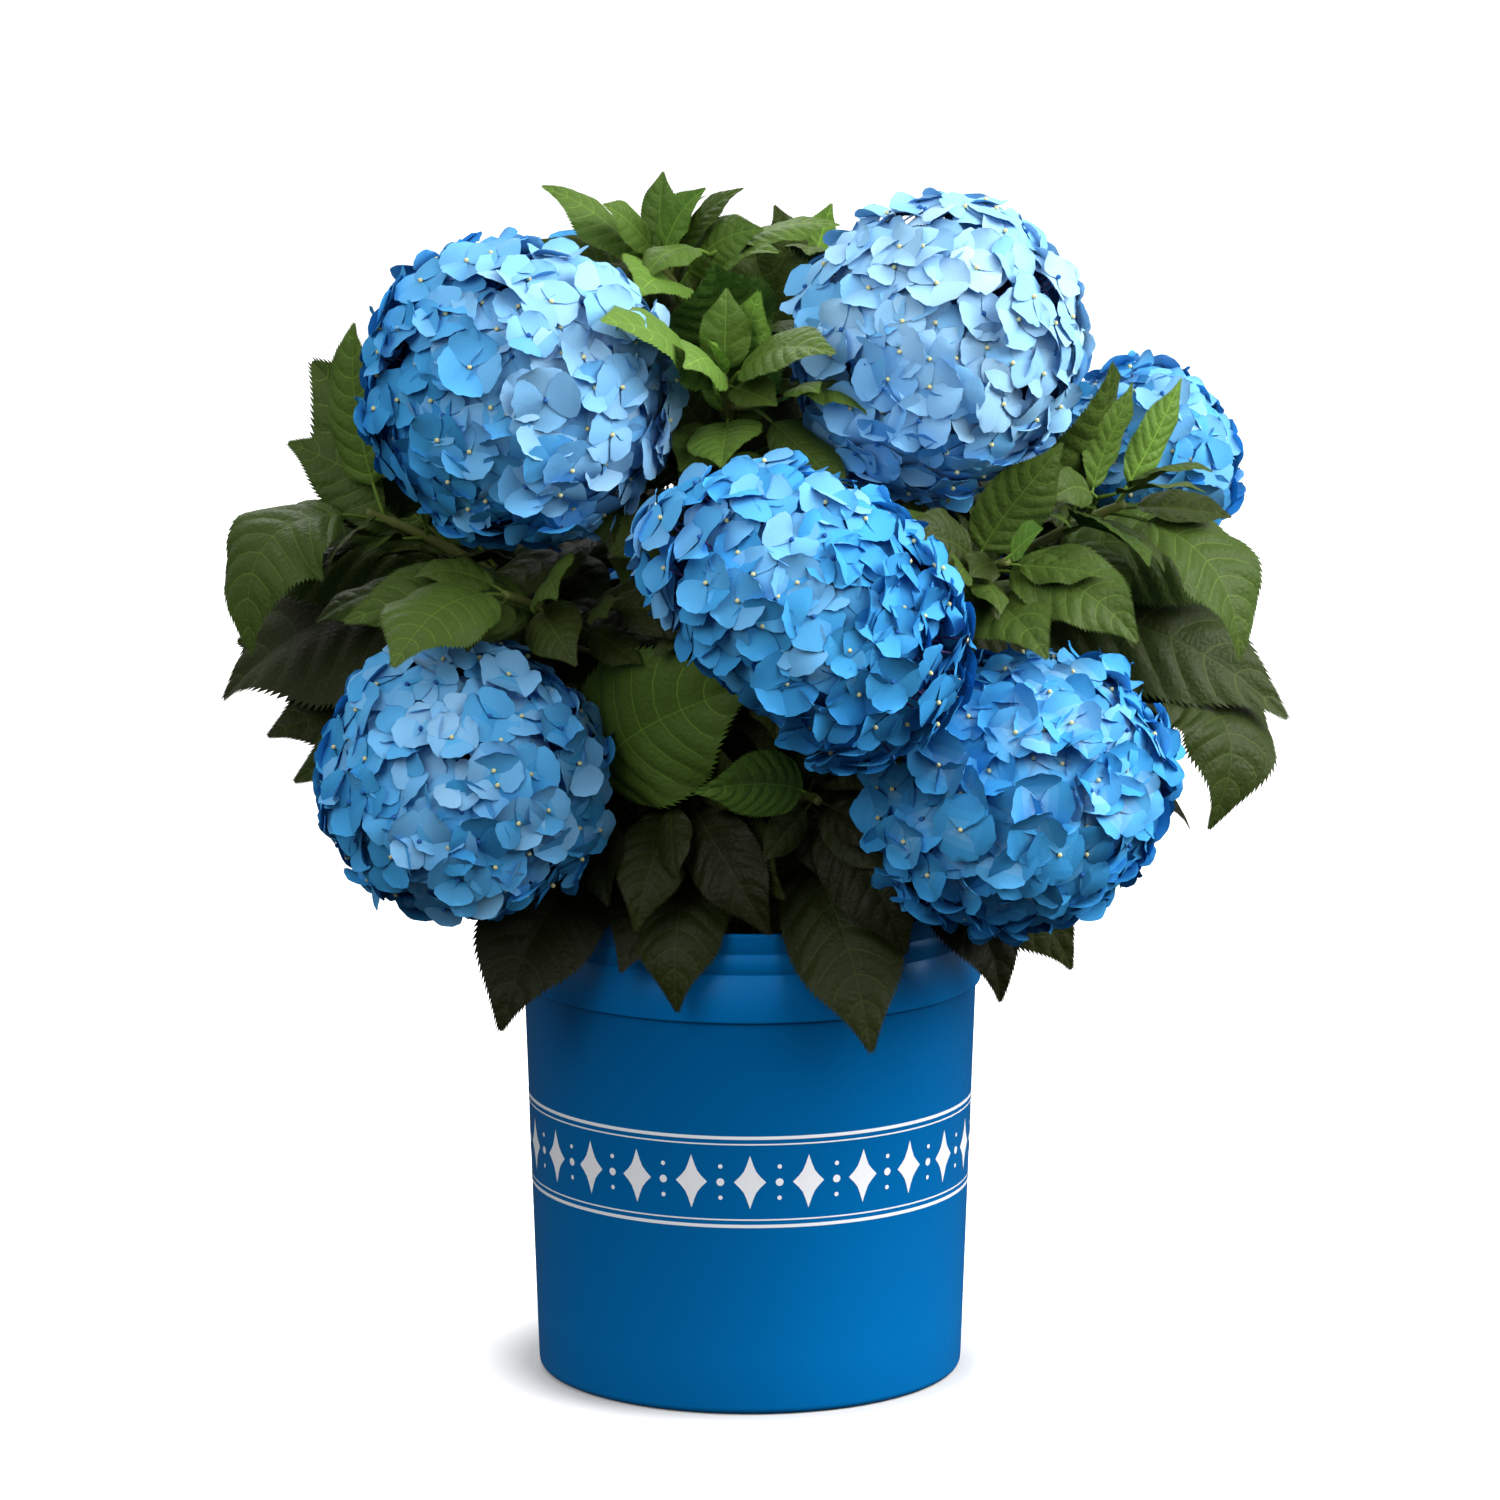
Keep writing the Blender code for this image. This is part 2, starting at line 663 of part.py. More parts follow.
def floret_solid(name, centre, direction, spin, radius):
    """(points, faces) of a four-lobed floret that lies round the head, its root sunk in the core."""
    first = direction.orthogonal().normalized()
    second = direction.cross(first)
    middle = head_point(name, direction, FLORET_CUP[0])
    points = [centre + middle]
    for corner in range(8):
        turn = spin + math.pi * corner / 4
        reach = radius if corner % 2 == 0 else radius * FLORET_NOTCH
        share = 1.0 if corner % 2 == 0 else FLORET_CUP[1]
        place = middle + (first * math.cos(turn) + second * math.sin(turn)) * reach
        points.append(centre + head_point(name, place.normalized(), share))
    points.append(centre + middle * FLORET_ROOT_SHARE)
    faces = []
    for corner in range(8):
        here, there = 1 + corner, 1 + (corner + 1) % 8
        faces.append((0, here, there))
        faces.append((9, there, here))
    return points, faces


def head_solids(name, path):
    """The core and the florets of a head, each as (points, faces)."""
    centre = path.tip
    core = bmesh.new()
    bmesh.ops.create_icosphere(core, subdivisions=2, radius=1)
    for vertex in core.verts:
        vertex.co = centre + head_point(name, vertex.co.normalized(), CORE_SHARE)
    solids = [([v.co.copy() for v in core.verts], [[v.index for v in f.verts] for f in core.faces])]
    core.free()
    chance = random.Random(name)
    size = FLORET_RADIUS * min(1, HEADS[name].tall / FULL_SIZE_HEAD)
    for direction in spread_directions(FLORETS_PER_HEAD, path.tangent(path.length)):
        radius = size * chance.uniform(0.92, 1.08)
        solids.append(floret_solid(name, centre, direction, chance.uniform(0, 1.5), radius))
    return solids


# ---- joining ----------------------------------------------------------------------------------------------


def solid_object(name, points, faces):
    mesh = bpy.data.meshes.new(name)
    work = bmesh.new()
    corners = [work.verts.new(point) for point in points]
    for face in faces:
        work.faces.new([corners[i] for i in face])
    bmesh.ops.triangulate(work, faces=work.faces)
    bmesh.ops.recalc_face_normals(work, faces=work.faces)
    work.to_mesh(mesh)
    work.free()
    return bpy.data.objects.new(name, mesh)


def keep_outer_shell(mesh):
    """Drops loose scraps and what the union sealed inside: only the largest shell stays, closed."""
    work = bmesh.new()
    work.from_mesh(mesh)
    bmesh.ops.remove_doubles(work, verts=work.verts, dist=0.000002)
    bmesh.ops.dissolve_degenerate(work, edges=work.edges, dist=0.000002)
    shells, seen = [], set()
    for first in work.faces:
        if first in seen:
            continue
        shell, waiting = [], [first]
        seen.add(first)
        while waiting:
            face = waiting.pop()
            shell.append(face)
            for edge in face.edges:
                for other in edge.link_faces:
                    if len(edge.link_faces) == 2 and other not in seen:
                        seen.add(other)
                        waiting.append(other)
        shells.append(shell)
    shells.sort(key=len)
    for shell in shells[:-1]:
        bmesh.ops.delete(work, geom=shell, context="FACES")
    bmesh.ops.holes_fill(work, edges=[edge for edge in work.edges if edge.is_boundary])
    bmesh.ops.triangulate(work, faces=work.faces)
    bmesh.ops.recalc_face_normals(work, faces=work.faces)
    work.to_mesh(mesh)
    work.free()
    return len(shells) - 1


def fuse(trunk, pieces, material):
    """Joins the pieces, each (points, faces), to the trunk object by one Boolean union on a collection."""
    name = trunk.name
    joined = bpy.data.collections.new(name + "_pieces")
    bpy.context.scene.collection.children.link(joined)
    for i, (points, faces) in enumerate(pieces):
        joined.objects.link(solid_object(f"{name}_piece_{i}", points, faces))
    union = trunk.modifiers.new("join", "BOOLEAN")
    union.operation = "UNION"
    union.operand_type = "COLLECTION"
    union.collection = joined
    union.solver = "EXACT"
    bpy.context.view_layer.update()
    evaluated = trunk.evaluated_get(bpy.context.evaluated_depsgraph_get())
    mesh = bpy.data.meshes.new_from_object(evaluated)
    for obj in list(joined.objects):
        bpy.data.objects.remove(obj)
    bpy.data.collections.remove(joined)
    bpy.data.objects.remove(trunk)
    dropped = keep_outer_shell(mesh)
    mesh.materials.clear()
    made = add_object(name, mesh, material)
    print(name, len(mesh.polygons), "triangles,", len(pieces), "pieces,", dropped, "shells dropped")
    return made


# ---- the whole plant --------------------------------------------------------------------------------------


def build():
    finish = {name: principled(name) for name in COLOURS}
    space = Space()
    solids = [
        turned("pot", pot_profile(), POT_SIDES, finish["pot"]),
        turned("soil", soil_profile(), POT_SIDES, finish["soil"]),
        turned("stem_base", woody_crown_profile(), 12, finish["cane"]),
    ]
    for obj in solids:
        space.add_object("ground", obj)

    paths = {name: Path(name) for name in SHOOTS}
    spans, twigs, stalks = {}, {}, {}
    for name, path in paths.items():
        start = path.length * SHOOTS[name].bare
        end = path.length
        if name in HEADS:
            end -= min(HEADS[name].deep, HEADS[name].tall) * 1.02
            stalk = cane_curve("bloom_" + name, path, end + CLEARANCE, path.length, TWIG_ROUNDNESS)
            stalks[name] = as_mesh(stalk)
        cane = as_mesh(cane_curve("cane_" + name, path, 0, start, CANE_ROUNDNESS), finish["cane"])
        twig = cane_curve("foliage_" + name, path, start + CLEARANCE, end, TWIG_ROUNDNESS)
        twigs[name] = as_mesh(twig)
        spans[name] = (start + CLEARANCE, end)
        space.add_object("canes", cane)
        space.add_object(name, twigs[name])

    heads = {name: head_solids(name, paths[name]) for name in HEADS}
    for solids in heads.values():
        for points, faces in solids:
            space.add("heads", points, faces)

    grown = {name: [] for name in SHOOTS}
    grow_marked_leaves(paths, spans, space, grown)
    grow_paired_leaves(paths, spans, space, grown)
    print(sum(len(leaves) for leaves in grown.values()), "leaves")
    for name, leaves in grown.items():
        fuse(twigs[name], [leaf.solid() for leaf in leaves], finish["leaf"])
    for name, solids in heads.items():
        fuse(stalks[name], solids, finish["petal"])


clear_scene()
plant_collection = bpy.data.collections.new("potted_hydrangea")
bpy.context.scene.collection.children.link(plant_collection)
build()
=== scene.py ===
# %% [markdown]
# # A potted mophead hydrangea
# A mophead hydrangea is a dome of leafy shoots that rise close round one old woody crown, and many of
# them end in a globe of four-petalled florets. This lesson dresses the plain solids of such a plant: it
# loads them as a fixed frame, then grows the real leaves, florets and bark in the same places. Everything
# is in metres, with +Z up, the front of the plant at -Y and the origin under the middle of the pot.

import itertools
import math
import random
from collections import namedtuple

import bmesh
import bpy
import numpy as np
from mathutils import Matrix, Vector, noise
from mathutils.bvhtree import BVHTree


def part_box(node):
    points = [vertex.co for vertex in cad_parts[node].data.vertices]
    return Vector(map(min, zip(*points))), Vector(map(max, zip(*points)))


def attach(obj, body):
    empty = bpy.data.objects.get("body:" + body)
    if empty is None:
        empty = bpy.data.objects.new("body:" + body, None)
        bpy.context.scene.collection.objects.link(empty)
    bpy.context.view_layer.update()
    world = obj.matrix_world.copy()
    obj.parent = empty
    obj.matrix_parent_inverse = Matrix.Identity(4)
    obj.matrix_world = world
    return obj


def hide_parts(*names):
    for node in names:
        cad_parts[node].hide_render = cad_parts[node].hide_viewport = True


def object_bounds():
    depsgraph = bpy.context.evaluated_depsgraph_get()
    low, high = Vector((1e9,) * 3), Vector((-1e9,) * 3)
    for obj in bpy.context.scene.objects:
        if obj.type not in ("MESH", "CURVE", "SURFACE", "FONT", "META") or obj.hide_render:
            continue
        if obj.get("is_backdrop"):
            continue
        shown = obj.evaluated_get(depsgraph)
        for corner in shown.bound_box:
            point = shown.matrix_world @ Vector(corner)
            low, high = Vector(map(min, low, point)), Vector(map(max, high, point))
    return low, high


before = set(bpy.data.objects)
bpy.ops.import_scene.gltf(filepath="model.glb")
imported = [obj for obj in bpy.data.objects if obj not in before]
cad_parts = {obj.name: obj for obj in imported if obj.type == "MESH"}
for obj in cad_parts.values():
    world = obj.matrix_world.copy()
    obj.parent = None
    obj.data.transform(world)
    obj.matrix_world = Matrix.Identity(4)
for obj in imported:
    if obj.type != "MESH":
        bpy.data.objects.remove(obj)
cad_low, cad_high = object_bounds()
pot_low, pot_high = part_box("pot")
soil_low, soil_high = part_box("soil")
print("solids:", len(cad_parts))
print("from", [round(x, 3) for x in cad_low], "to", [round(x, 3) for x in cad_high])

# %% [markdown]
# ## Room, light and camera
# A plant like this is shown in a studio on a white sweep: a large soft light from the upper right gives
# the petals their shape, one from the upper left keeps the shaded side readable, one from the right draws
# the sheen along the pot, and a weaker one from behind lights the tops. The floor could be a modelled
# sweep, but a wide plane is enough, since the camera looks down on it. It glows hardly at all at the pot,
# where the shadow lies, and fully a little further off, which keeps it white to the horizon. It throws no
# light back, so that the leaves by the rim stay as dark as a dense shrub keeps them. The camera stands
# far off with a long lens, so that the pot's sides stay nearly parallel.

# %% Floor and camera
CAMERA_PLACE = Vector((0, -3.478, 0.945))
CAMERA_PITCH = 9.9  # degrees below the level
LENS, SENSOR = 157.44, 36  # millimetres
VIEW_END = 100
FLOOR_HALF = 24
GLOW_NEAR, GLOW_FAR = (0.12, 0.05), (0.175, 1.0)  # metres from the pot's axis, strength
scene = bpy.context.scene


def srgb(red, green, blue):
    """A linear colour with alpha from screen values of 0 to 255."""
    def linear(value):
        value /= 255
        return value / 12.92 if value < 0.04045 else ((value + 0.055) / 1.055) ** 2.4
    return linear(red), linear(green), linear(blue), 1


def shader_of(material):
    return material.node_tree.nodes["Principled BSDF"]


def shader_node(owner, kind, inputs=None):
    """Adds a node to a material or a world. inputs maps a name to a value, or to an output to link."""
    tree = owner.node_tree
    made = tree.nodes.new(kind)
    for name, value in (inputs or {}).items():
        if isinstance(value, bpy.types.NodeSocket):
            tree.links.new(value, made.inputs[name])
        else:
            made.inputs[name].default_value = value
    return made


def ranged(owner, value, low, high):
    """The output that turns a value into another, by (value, result) at the low and at the high end."""
    ends = {"From Min": low[0], "To Min": low[1], "From Max": high[0], "To Max": high[1]}
    return shader_node(owner, "ShaderNodeMapRange", {"Value": value, **ends}).outputs["Result"]


def feed(material, socket, output):
    """Links an output to an input of the material's shader."""
    material.node_tree.links.new(output, shader_of(material).inputs[socket])


def finish(name, colour, roughness, specular=0.5):
    """A Principled material of one plain colour."""
    material = bpy.data.materials.new(name)
    material.use_nodes = True
    shader = shader_of(material)
    shader.inputs["Base Color"].default_value = colour
    shader.inputs["Roughness"].default_value = roughness
    shader.inputs["Specular IOR Level"].default_value = specular
    return material


floor_mesh = bpy.data.meshes.new("floor")
corners = [(x * FLOOR_HALF, y * FLOOR_HALF, 0) for x, y in ((-1, -1), (1, -1), (1, 1), (-1, 1))]
floor_mesh.from_pydata(corners, [], [(0, 1, 2, 3)])
floor = bpy.data.objects.new("floor", floor_mesh)
scene.collection.objects.link(floor)
floor_finish = finish("white_floor", srgb(205, 205, 205), roughness=0.9, specular=0.1)
shader_of(floor_finish).inputs["Emission Color"].default_value = (1, 1, 1, 1)
floor_place = shader_node(floor_finish, "ShaderNodeTexCoord")
way_off = shader_node(floor_finish, "ShaderNodeVectorMath", {"Vector": floor_place.outputs["Object"]})
way_off.operation = "LENGTH"
feed(floor_finish, "Emission Strength", ranged(floor_finish, way_off.outputs["Value"], GLOW_NEAR, GLOW_FAR))
floor_mesh.materials.append(floor_finish)
floor.visible_diffuse = False
floor.visible_glossy = False
floor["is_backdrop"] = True

camera = bpy.data.objects.new("camera", bpy.data.cameras.new("camera"))
camera.data.sensor_width = SENSOR
camera.data.lens = LENS
camera.location = CAMERA_PLACE
camera.rotation_euler = (math.radians(90 - CAMERA_PITCH), 0, 0)
camera.data.clip_end = VIEW_END
scene.collection.objects.link(camera)
scene.camera = camera
print("camera", round(CAMERA_PLACE.length, 2), "m from the origin, lens", LENS, "mm")

# %% Lights
AIM = Vector((0, 0, 0.38))
SKY_LOW, SKY_HIGH = (-0.15, 0.04), (0.45, 0.64)  # rise of the view, strength of the light from there
LIGHTS = {  # place, watts, size
    "key_light": ((1.6, -1.8, 2.3), 55, 2.1),
    "left_fill": ((-1.5, -2.4, 2.0), 38, 1.8),
    "side_light": ((2.2, -0.4, 1.75), 86, 1.6),
    "back_light": ((-0.6, 2.0, 2.4), 34, 1.4),
}


def soft_light(name, place, watts, size):
    data = bpy.data.lights.new(name, "AREA")
    data.energy = watts
    data.size = size
    light = bpy.data.objects.new(name, data)
    light.location = place
    light.rotation_euler = (AIM - light.location).to_track_quat("-Z", "Y").to_euler()
    scene.collection.objects.link(light)


for light_name, (place, watts, size) in LIGHTS.items():
    soft_light(light_name, place, watts, size)
world = bpy.data.worlds.new("studio")
world.use_nodes = True
sky = world.node_tree.nodes["Background"]
sky.inputs["Color"].default_value = (1, 1, 1, 1)
sky_way = shader_node(world, "ShaderNodeTexCoord")
sky_split = shader_node(world, "ShaderNodeSeparateXYZ", {"Vector": sky_way.outputs["Generated"]})
sky_light = ranged(world, sky_split.outputs["Z"], SKY_LOW, SKY_HIGH)
world.node_tree.links.new(sky_light, sky.inputs["Strength"])
scene.world = world
scene.view_settings.view_transform = "Standard"
print("lights:", len(LIGHTS))

# %% [markdown]
# ## Many small things in one mesh
# A shrub has thousands of petals and leaves. Each could be an object of its own, but that is slow and
# heavy to export, so they are collected into a few meshes, and each triangle keeps the number of its own
# finish. Two forms give nearly everything: a grid of points for what is flat, and a tube round a line for
# stalks.

# %% Collecting shapes
ASKEW = (0.3, 0.9, 0.1)  # a way that no stem sets out in, to start the turn of a tube's rings


class Piece:
    """Many small shapes that become one mesh."""

    def __init__(self, name):
        self.name = name
        self.points, self.triangles, self.finishes = [], [], []
        self.count = 0

    def add(self, points, triangles, finish_number):
        """finish_number is one number, or one for each triangle."""
        self.points.append(points)
        self.triangles.append(triangles + self.count)
        self.finishes.append(np.broadcast_to(finish_number, len(triangles)))
        self.count += len(points)

    def build(self, materials, slot, *nodes):
        """Makes the object, which stands for those CAD nodes."""
        points = np.concatenate(self.points)
        triangles = np.concatenate(self.triangles)
        mesh = bpy.data.meshes.new(self.name)
        mesh.vertices.add(len(points))
        mesh.vertices.foreach_set("co", points.astype(np.float32).ravel())
        mesh.loops.add(3 * len(triangles))
        mesh.loops.foreach_set("vertex_index", triangles.astype(np.int32).ravel())
        mesh.polygons.add(len(triangles))
        mesh.polygons.foreach_set("loop_start", np.arange(0, 3 * len(triangles), 3, dtype=np.int32))
        mesh.polygons.foreach_set("material_index", np.concatenate(self.finishes).astype(np.int32))
        mesh.update(calc_edges=True)
        mesh.validate()
        mesh.shade_smooth()
        for material in materials:
            mesh.materials.append(material)
        return place_piece(bpy.data.objects.new(self.name, mesh), slot, *nodes)


def place_piece(obj, slot, *nodes):
    """Links an object, lets it ride with the plant and hides the CAD nodes that it stands for."""
    if not obj.users_collection:
        scene.collection.objects.link(obj)
    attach(obj, "root")
    if nodes:
        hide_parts(*nodes)
    print(obj.name, "-", len(obj.data.polygons), "faces")
    return obj


def grid_triangles(rows, columns, wrapped=False):
    """The triangles of a grid of points: first one of each cell, then the other of each cell."""
    corner = np.arange(rows * columns).reshape(rows, columns)
    if wrapped:
        corner = np.concatenate([corner, corner[:, :1]], axis=1)
    a, b = corner[:-1, :-1].ravel(), corner[:-1, 1:].ravel()
    c, d = corner[1:, 1:].ravel(), corner[1:, :-1].ravel()
    return np.concatenate([np.stack([a, b, c], 1), np.stack([a, c, d], 1)])


def fans(first, last, low, top, sides):
    """The triangles that close a body: first joins the ring from low on, last the ring from top on."""
    ends = []
    for i in range(sides):
        j = (i + 1) % sides
        ends += [(first, low + j, low + i), (last, top + i, top + j)]
    return np.array(ends)


def tube(line, radii, sides):
    """(points, triangles) of a closed tube round the line. radii holds a number or a row for each ring."""
    line = np.asarray(line, float)
    along = np.gradient(line, axis=0)
    along /= np.linalg.norm(along, axis=1, keepdims=True)
    side = np.cross(along[0], ASKEW)
    turn = np.arange(sides) * 2 * math.pi / sides
    rings = []
    for place, way, radius in zip(line, along, radii):
        side = side - way * side.dot(way)
        side /= np.linalg.norm(side)
        up = np.cross(way, side)
        spokes = np.outer(np.cos(turn), side) + np.outer(np.sin(turn), up)
        rings.append(place + spokes * np.reshape(radius, (-1, 1)))
    points = np.concatenate([*rings, line[:1], line[-1:]])
    ends = fans(len(points) - 2, len(points) - 1, 0, (len(line) - 1) * sides, sides)
    return points, np.concatenate([grid_triangles(len(line), sides, True), ends])


def lids(rings, sides, first, last):
    """(points, triangles) of the flat ends of a body of rings, each fanned from its own middle point."""
    points = np.concatenate([[first, last], rings[:sides], rings[-sides:]])
    return points, fans(0, 1, 2, 2 + sides, sides)


print("a grid of 3 by 3 points has", len(grid_triangles(3, 3)), "triangles")

# %% [markdown]
# ## The pot
# The pot is a moulded plastic bucket with a banded rim, and two fine grooves run round the band. A turned
# profile gives all of it at once: the Screw modifier sweeps one outline round the axis, so a groove is
# only a few more points in the outline. The plastic is satin, with the faint unevenness that moulding
# leaves, and a noise on the bump and on the roughness gives that.

# %% Grain for one finish
GRAIN_DETAIL = 4
LOW_GRAIN, GRAIN_RANGE = 0.3, 0.4  # the noise seldom leaves 0.3 to 0.7


def raised(material, pattern, strength, distance):
    """Lets a pattern's output raise the surface of a material."""
    relief = {"Strength": strength, "Distance": distance, "Height": pattern}
    feed(material, "Normal", shader_node(material, "ShaderNodeBump", relief).outputs["Normal"])


def grained(material, scale, strength, distance, stretch=(1, 1, 1)):
    """Adds a fine bump to a material, the same all over the piece."""
    place = shader_node(material, "ShaderNodeTexCoord").outputs["Object"]
    mapping = shader_node(material, "ShaderNodeMapping", {"Vector": place, "Scale": stretch})
    look = {"Vector": mapping.outputs["Vector"], "Scale": scale, "Detail": GRAIN_DETAIL}
    grain = shader_node(material, "ShaderNodeTexNoise", look)
    raised(material, grain.outputs["Fac"], strength, distance)
    return grain


def netted(material, scale, strength, distance):
    """Adds the relief of a fine net to a material: small cells that rise between sunken lines."""
    place = shader_node(material, "ShaderNodeTexCoord").outputs["Object"]
    net = shader_node(material, "ShaderNodeTexVoronoi", {"Vector": place, "Scale": scale})
    net.feature = "DISTANCE_TO_EDGE"
    raised(material, net.outputs["Distance"], strength, distance)


def mottled(material, grain, colours, socket="Base Color"):
    """Spreads colours, or grey levels for another socket, over the grain from low to high."""
    ramp = shader_node(material, "ShaderNodeValToRGB", {"Fac": grain.outputs["Fac"]})
    steps = ramp.color_ramp.elements
    while len(steps) < len(colours):
        steps.new(0.5)
    for i, colour in enumerate(colours):
        steps[i].position = LOW_GRAIN + GRAIN_RANGE * i / (len(colours) - 1)
        steps[i].color = colour
    feed(material, socket, ramp.outputs["Color"])


def grey(level):
    return level, level, level, 1


plastic = finish("satin_blue_plastic", srgb(0, 106, 175), roughness=0.34, specular=0.35)
shader_of(plastic).inputs["Specular Tint"].default_value = srgb(130, 190, 255)
moulding = grained(plastic, scale=260, strength=0.10, distance=0.0004)
mottled(plastic, moulding, [grey(0.30), grey(0.40)], "Roughness")
print("pot finish:", plastic.name)

# %% The pot's shape
RIM_RADIUS = (pot_high.x - pot_low.x) / 2
RIM_HEIGHT = pot_high.z
RIM_BAND = 0.048
WALL_TOP_RADIUS, WALL_FOOT_RADIUS = 0.1222, 0.1150
POT_WALL, POT_FLOOR = 0.0024, 0.003
POT_LIP = 0.0014  # the rounding of the rim's edges
BAND_FILLET = (0.0006, 0.0008)  # out and down, where the wall goes in under the band
GROOVES = (0.0110, 0.0220)  # below the rim's top
GROOVE = 0.0009
GROOVE_LINE = ((1.4, 0), (0.5, 1), (-0.5, 1), (-1.4, 0))  # its corners: how far up, how deep
LOW_RING = 0.03  # a ring of points low on the wall
FOOT_ROUNDING = 0.004
ROUND_STEPS = 5
POT_SIDES = 128
SHARP_EDGE = 50  # degrees
WELD = 0.00002


def turned(name, profile, sides):
    """Turns a profile of (radius, height) once round the axis."""
    mesh = bpy.data.meshes.new(name)
    links = [(i, i + 1) for i in range(len(profile) - 1)]
    mesh.from_pydata([(radius, 0, height) for radius, height in profile], links, [])
    obj = bpy.data.objects.new(name, mesh)
    scene.collection.objects.link(obj)
    screw = obj.modifiers.new("turn", "SCREW")
    screw.steps = screw.render_steps = sides
    screw.use_merge_vertices = True
    screw.merge_threshold = WELD
    screw.use_smooth_shade = True
    made = bpy.data.meshes.new_from_object(obj.evaluated_get(bpy.context.evaluated_depsgraph_get()))
    bpy.data.objects.remove(obj)
    welded = bmesh.new()  # the points on the axis become one
    welded.from_mesh(made)
    bmesh.ops.remove_doubles(welded, verts=welded.verts, dist=WELD)
    welded.to_mesh(made)
    welded.free()
    return bpy.data.objects.new(name, made)


def wall_radius(height):
    """The outer radius of the pot's wall under the band."""
    return WALL_FOOT_RADIUS + (WALL_TOP_RADIUS - WALL_FOOT_RADIUS) * height / (RIM_HEIGHT - RIM_BAND)


def rounded(radius, height, start, end, corner):
    """Points of a quarter round, from one angle to the other in degrees."""
    angles = [math.radians(start + (end - start) * i / ROUND_STEPS) for i in range(ROUND_STEPS + 1)]
    return [(radius + corner * math.cos(angle), height + corner * math.sin(angle)) for angle in angles]


def pot_profile():
    """The outline of the pot's wall, from the middle inside over the rim to the middle underneath."""
    inner = wall_radius(RIM_HEIGHT) - POT_WALL
    points = [(0, POT_FLOOR), (wall_radius(0) - POT_WALL, POT_FLOOR), (inner, RIM_HEIGHT - POT_LIP)]
    points += rounded(inner + POT_LIP, RIM_HEIGHT - POT_LIP, 180, 90, POT_LIP)
    points += rounded(RIM_RADIUS - POT_LIP, RIM_HEIGHT - POT_LIP, 90, 0, POT_LIP)
    for drop in GROOVES:
        height = RIM_HEIGHT - drop
        for step, depth in GROOVE_LINE:
            points.append((RIM_RADIUS - depth * GROOVE, height + step * GROOVE))
    band_foot = RIM_HEIGHT - RIM_BAND
    points += rounded(RIM_RADIUS - POT_LIP, band_foot + POT_LIP, 0, -90, POT_LIP)
    out, down = BAND_FILLET
    points += [(wall_radius(band_foot) + out, band_foot), (wall_radius(band_foot), band_foot - down)]
    points.append((wall_radius(LOW_RING), LOW_RING))
    points += rounded(wall_radius(0) - FOOT_ROUNDING, FOOT_ROUNDING, 0, -90, FOOT_ROUNDING)
    points.append((0, 0))
    return points


pot = turned("pot_shell", pot_profile(), POT_SIDES)
pot.data.materials.append(plastic)
pot.data.set_sharp_from_angle(angle=math.radians(SHARP_EDGE))
place_piece(pot, "pot", "pot")

# %% [markdown]
# The pot's face carries a plain printed band, white on blue: two thin lines with a row of lozenges and
# dots between them. A print could be painted in the material, but thin shapes that lie on the wall stay
# sharp at any distance. Each shape is drawn flat and bent round the pot by its angle.

# %% A printed band
PRINT_MIDDLE, PRINT_HALF = 0.128, 0.0240
PRINT_THICKNESS = 0.00018
LINE_SIDES = 144
BROAD_LINE, FINE_LINE = 0.0009, 0.0004  # half their widths
LINE_GAP = 0.0035  # from the broad line in to the fine one
LOZENGES = 24
LOZENGE_SIZE, LOZENGE_HOLLOW = (0.0085, 0.0145), 0.22
DOT_SIDES = 14
DOT, SMALL_DOT = 0.0021, 0.0012
DOT_RISE = 0.0085  # of the small dots over and under the others
CORNERS, SIDE_POINTS = ((1, 0), (0, 1), (-1, 0), (0, -1)), (0, 0.25, 0.5, 0.75)
white_print = finish("white_print", srgb(236, 239, 244), roughness=0.45)
grained(white_print, scale=900, strength=0.05, distance=0.0001)
band = Piece("pot_print")


def on_wall(angle, height, lift=PRINT_THICKNESS):
    """The point of the pot's wall at that angle and height."""
    radius = wall_radius(height) + lift
    return radius * math.sin(angle), -radius * math.cos(angle), height


def print_patch(angle, height, outline):
    """A patch on the wall whose outline is (distance round, distance up), fanned from its middle."""
    radius = wall_radius(height)
    ring = [on_wall(angle + x / radius, height + y) for x, y in outline]
    count = len(ring)
    triangles = [(count, i, (i + 1) % count) for i in range(count)]
    band.add(np.array([*ring, on_wall(angle, height)]), np.array(triangles), 0)


def print_line(height, half):
    angles = np.linspace(0, 2 * math.pi, LINE_SIDES + 1)[:-1]
    rings = [[on_wall(angle, height + step) for angle in angles] for step in (-half, half)]
    band.add(np.concatenate(rings), grid_triangles(2, len(angles), True), 0)


def lozenge(half_width, half_height, hollow):
    """A lozenge with slightly hollow sides."""
    outline = []
    for (x0, y0), (x1, y1) in zip(CORNERS, CORNERS[1:] + CORNERS[:1]):
        for share in SIDE_POINTS:
            pull = 1 - hollow * math.sin(math.pi * share)
            x = (x0 + (x1 - x0) * share) * pull
            y = (y0 + (y1 - y0) * share) * pull
            outline.append((x * half_width, y * half_height))
    return outline


def dot(radius):
    turn = [2 * math.pi * i / DOT_SIDES for i in range(DOT_SIDES)]
    return [(radius * math.cos(angle), radius * math.sin(angle)) for angle in turn]


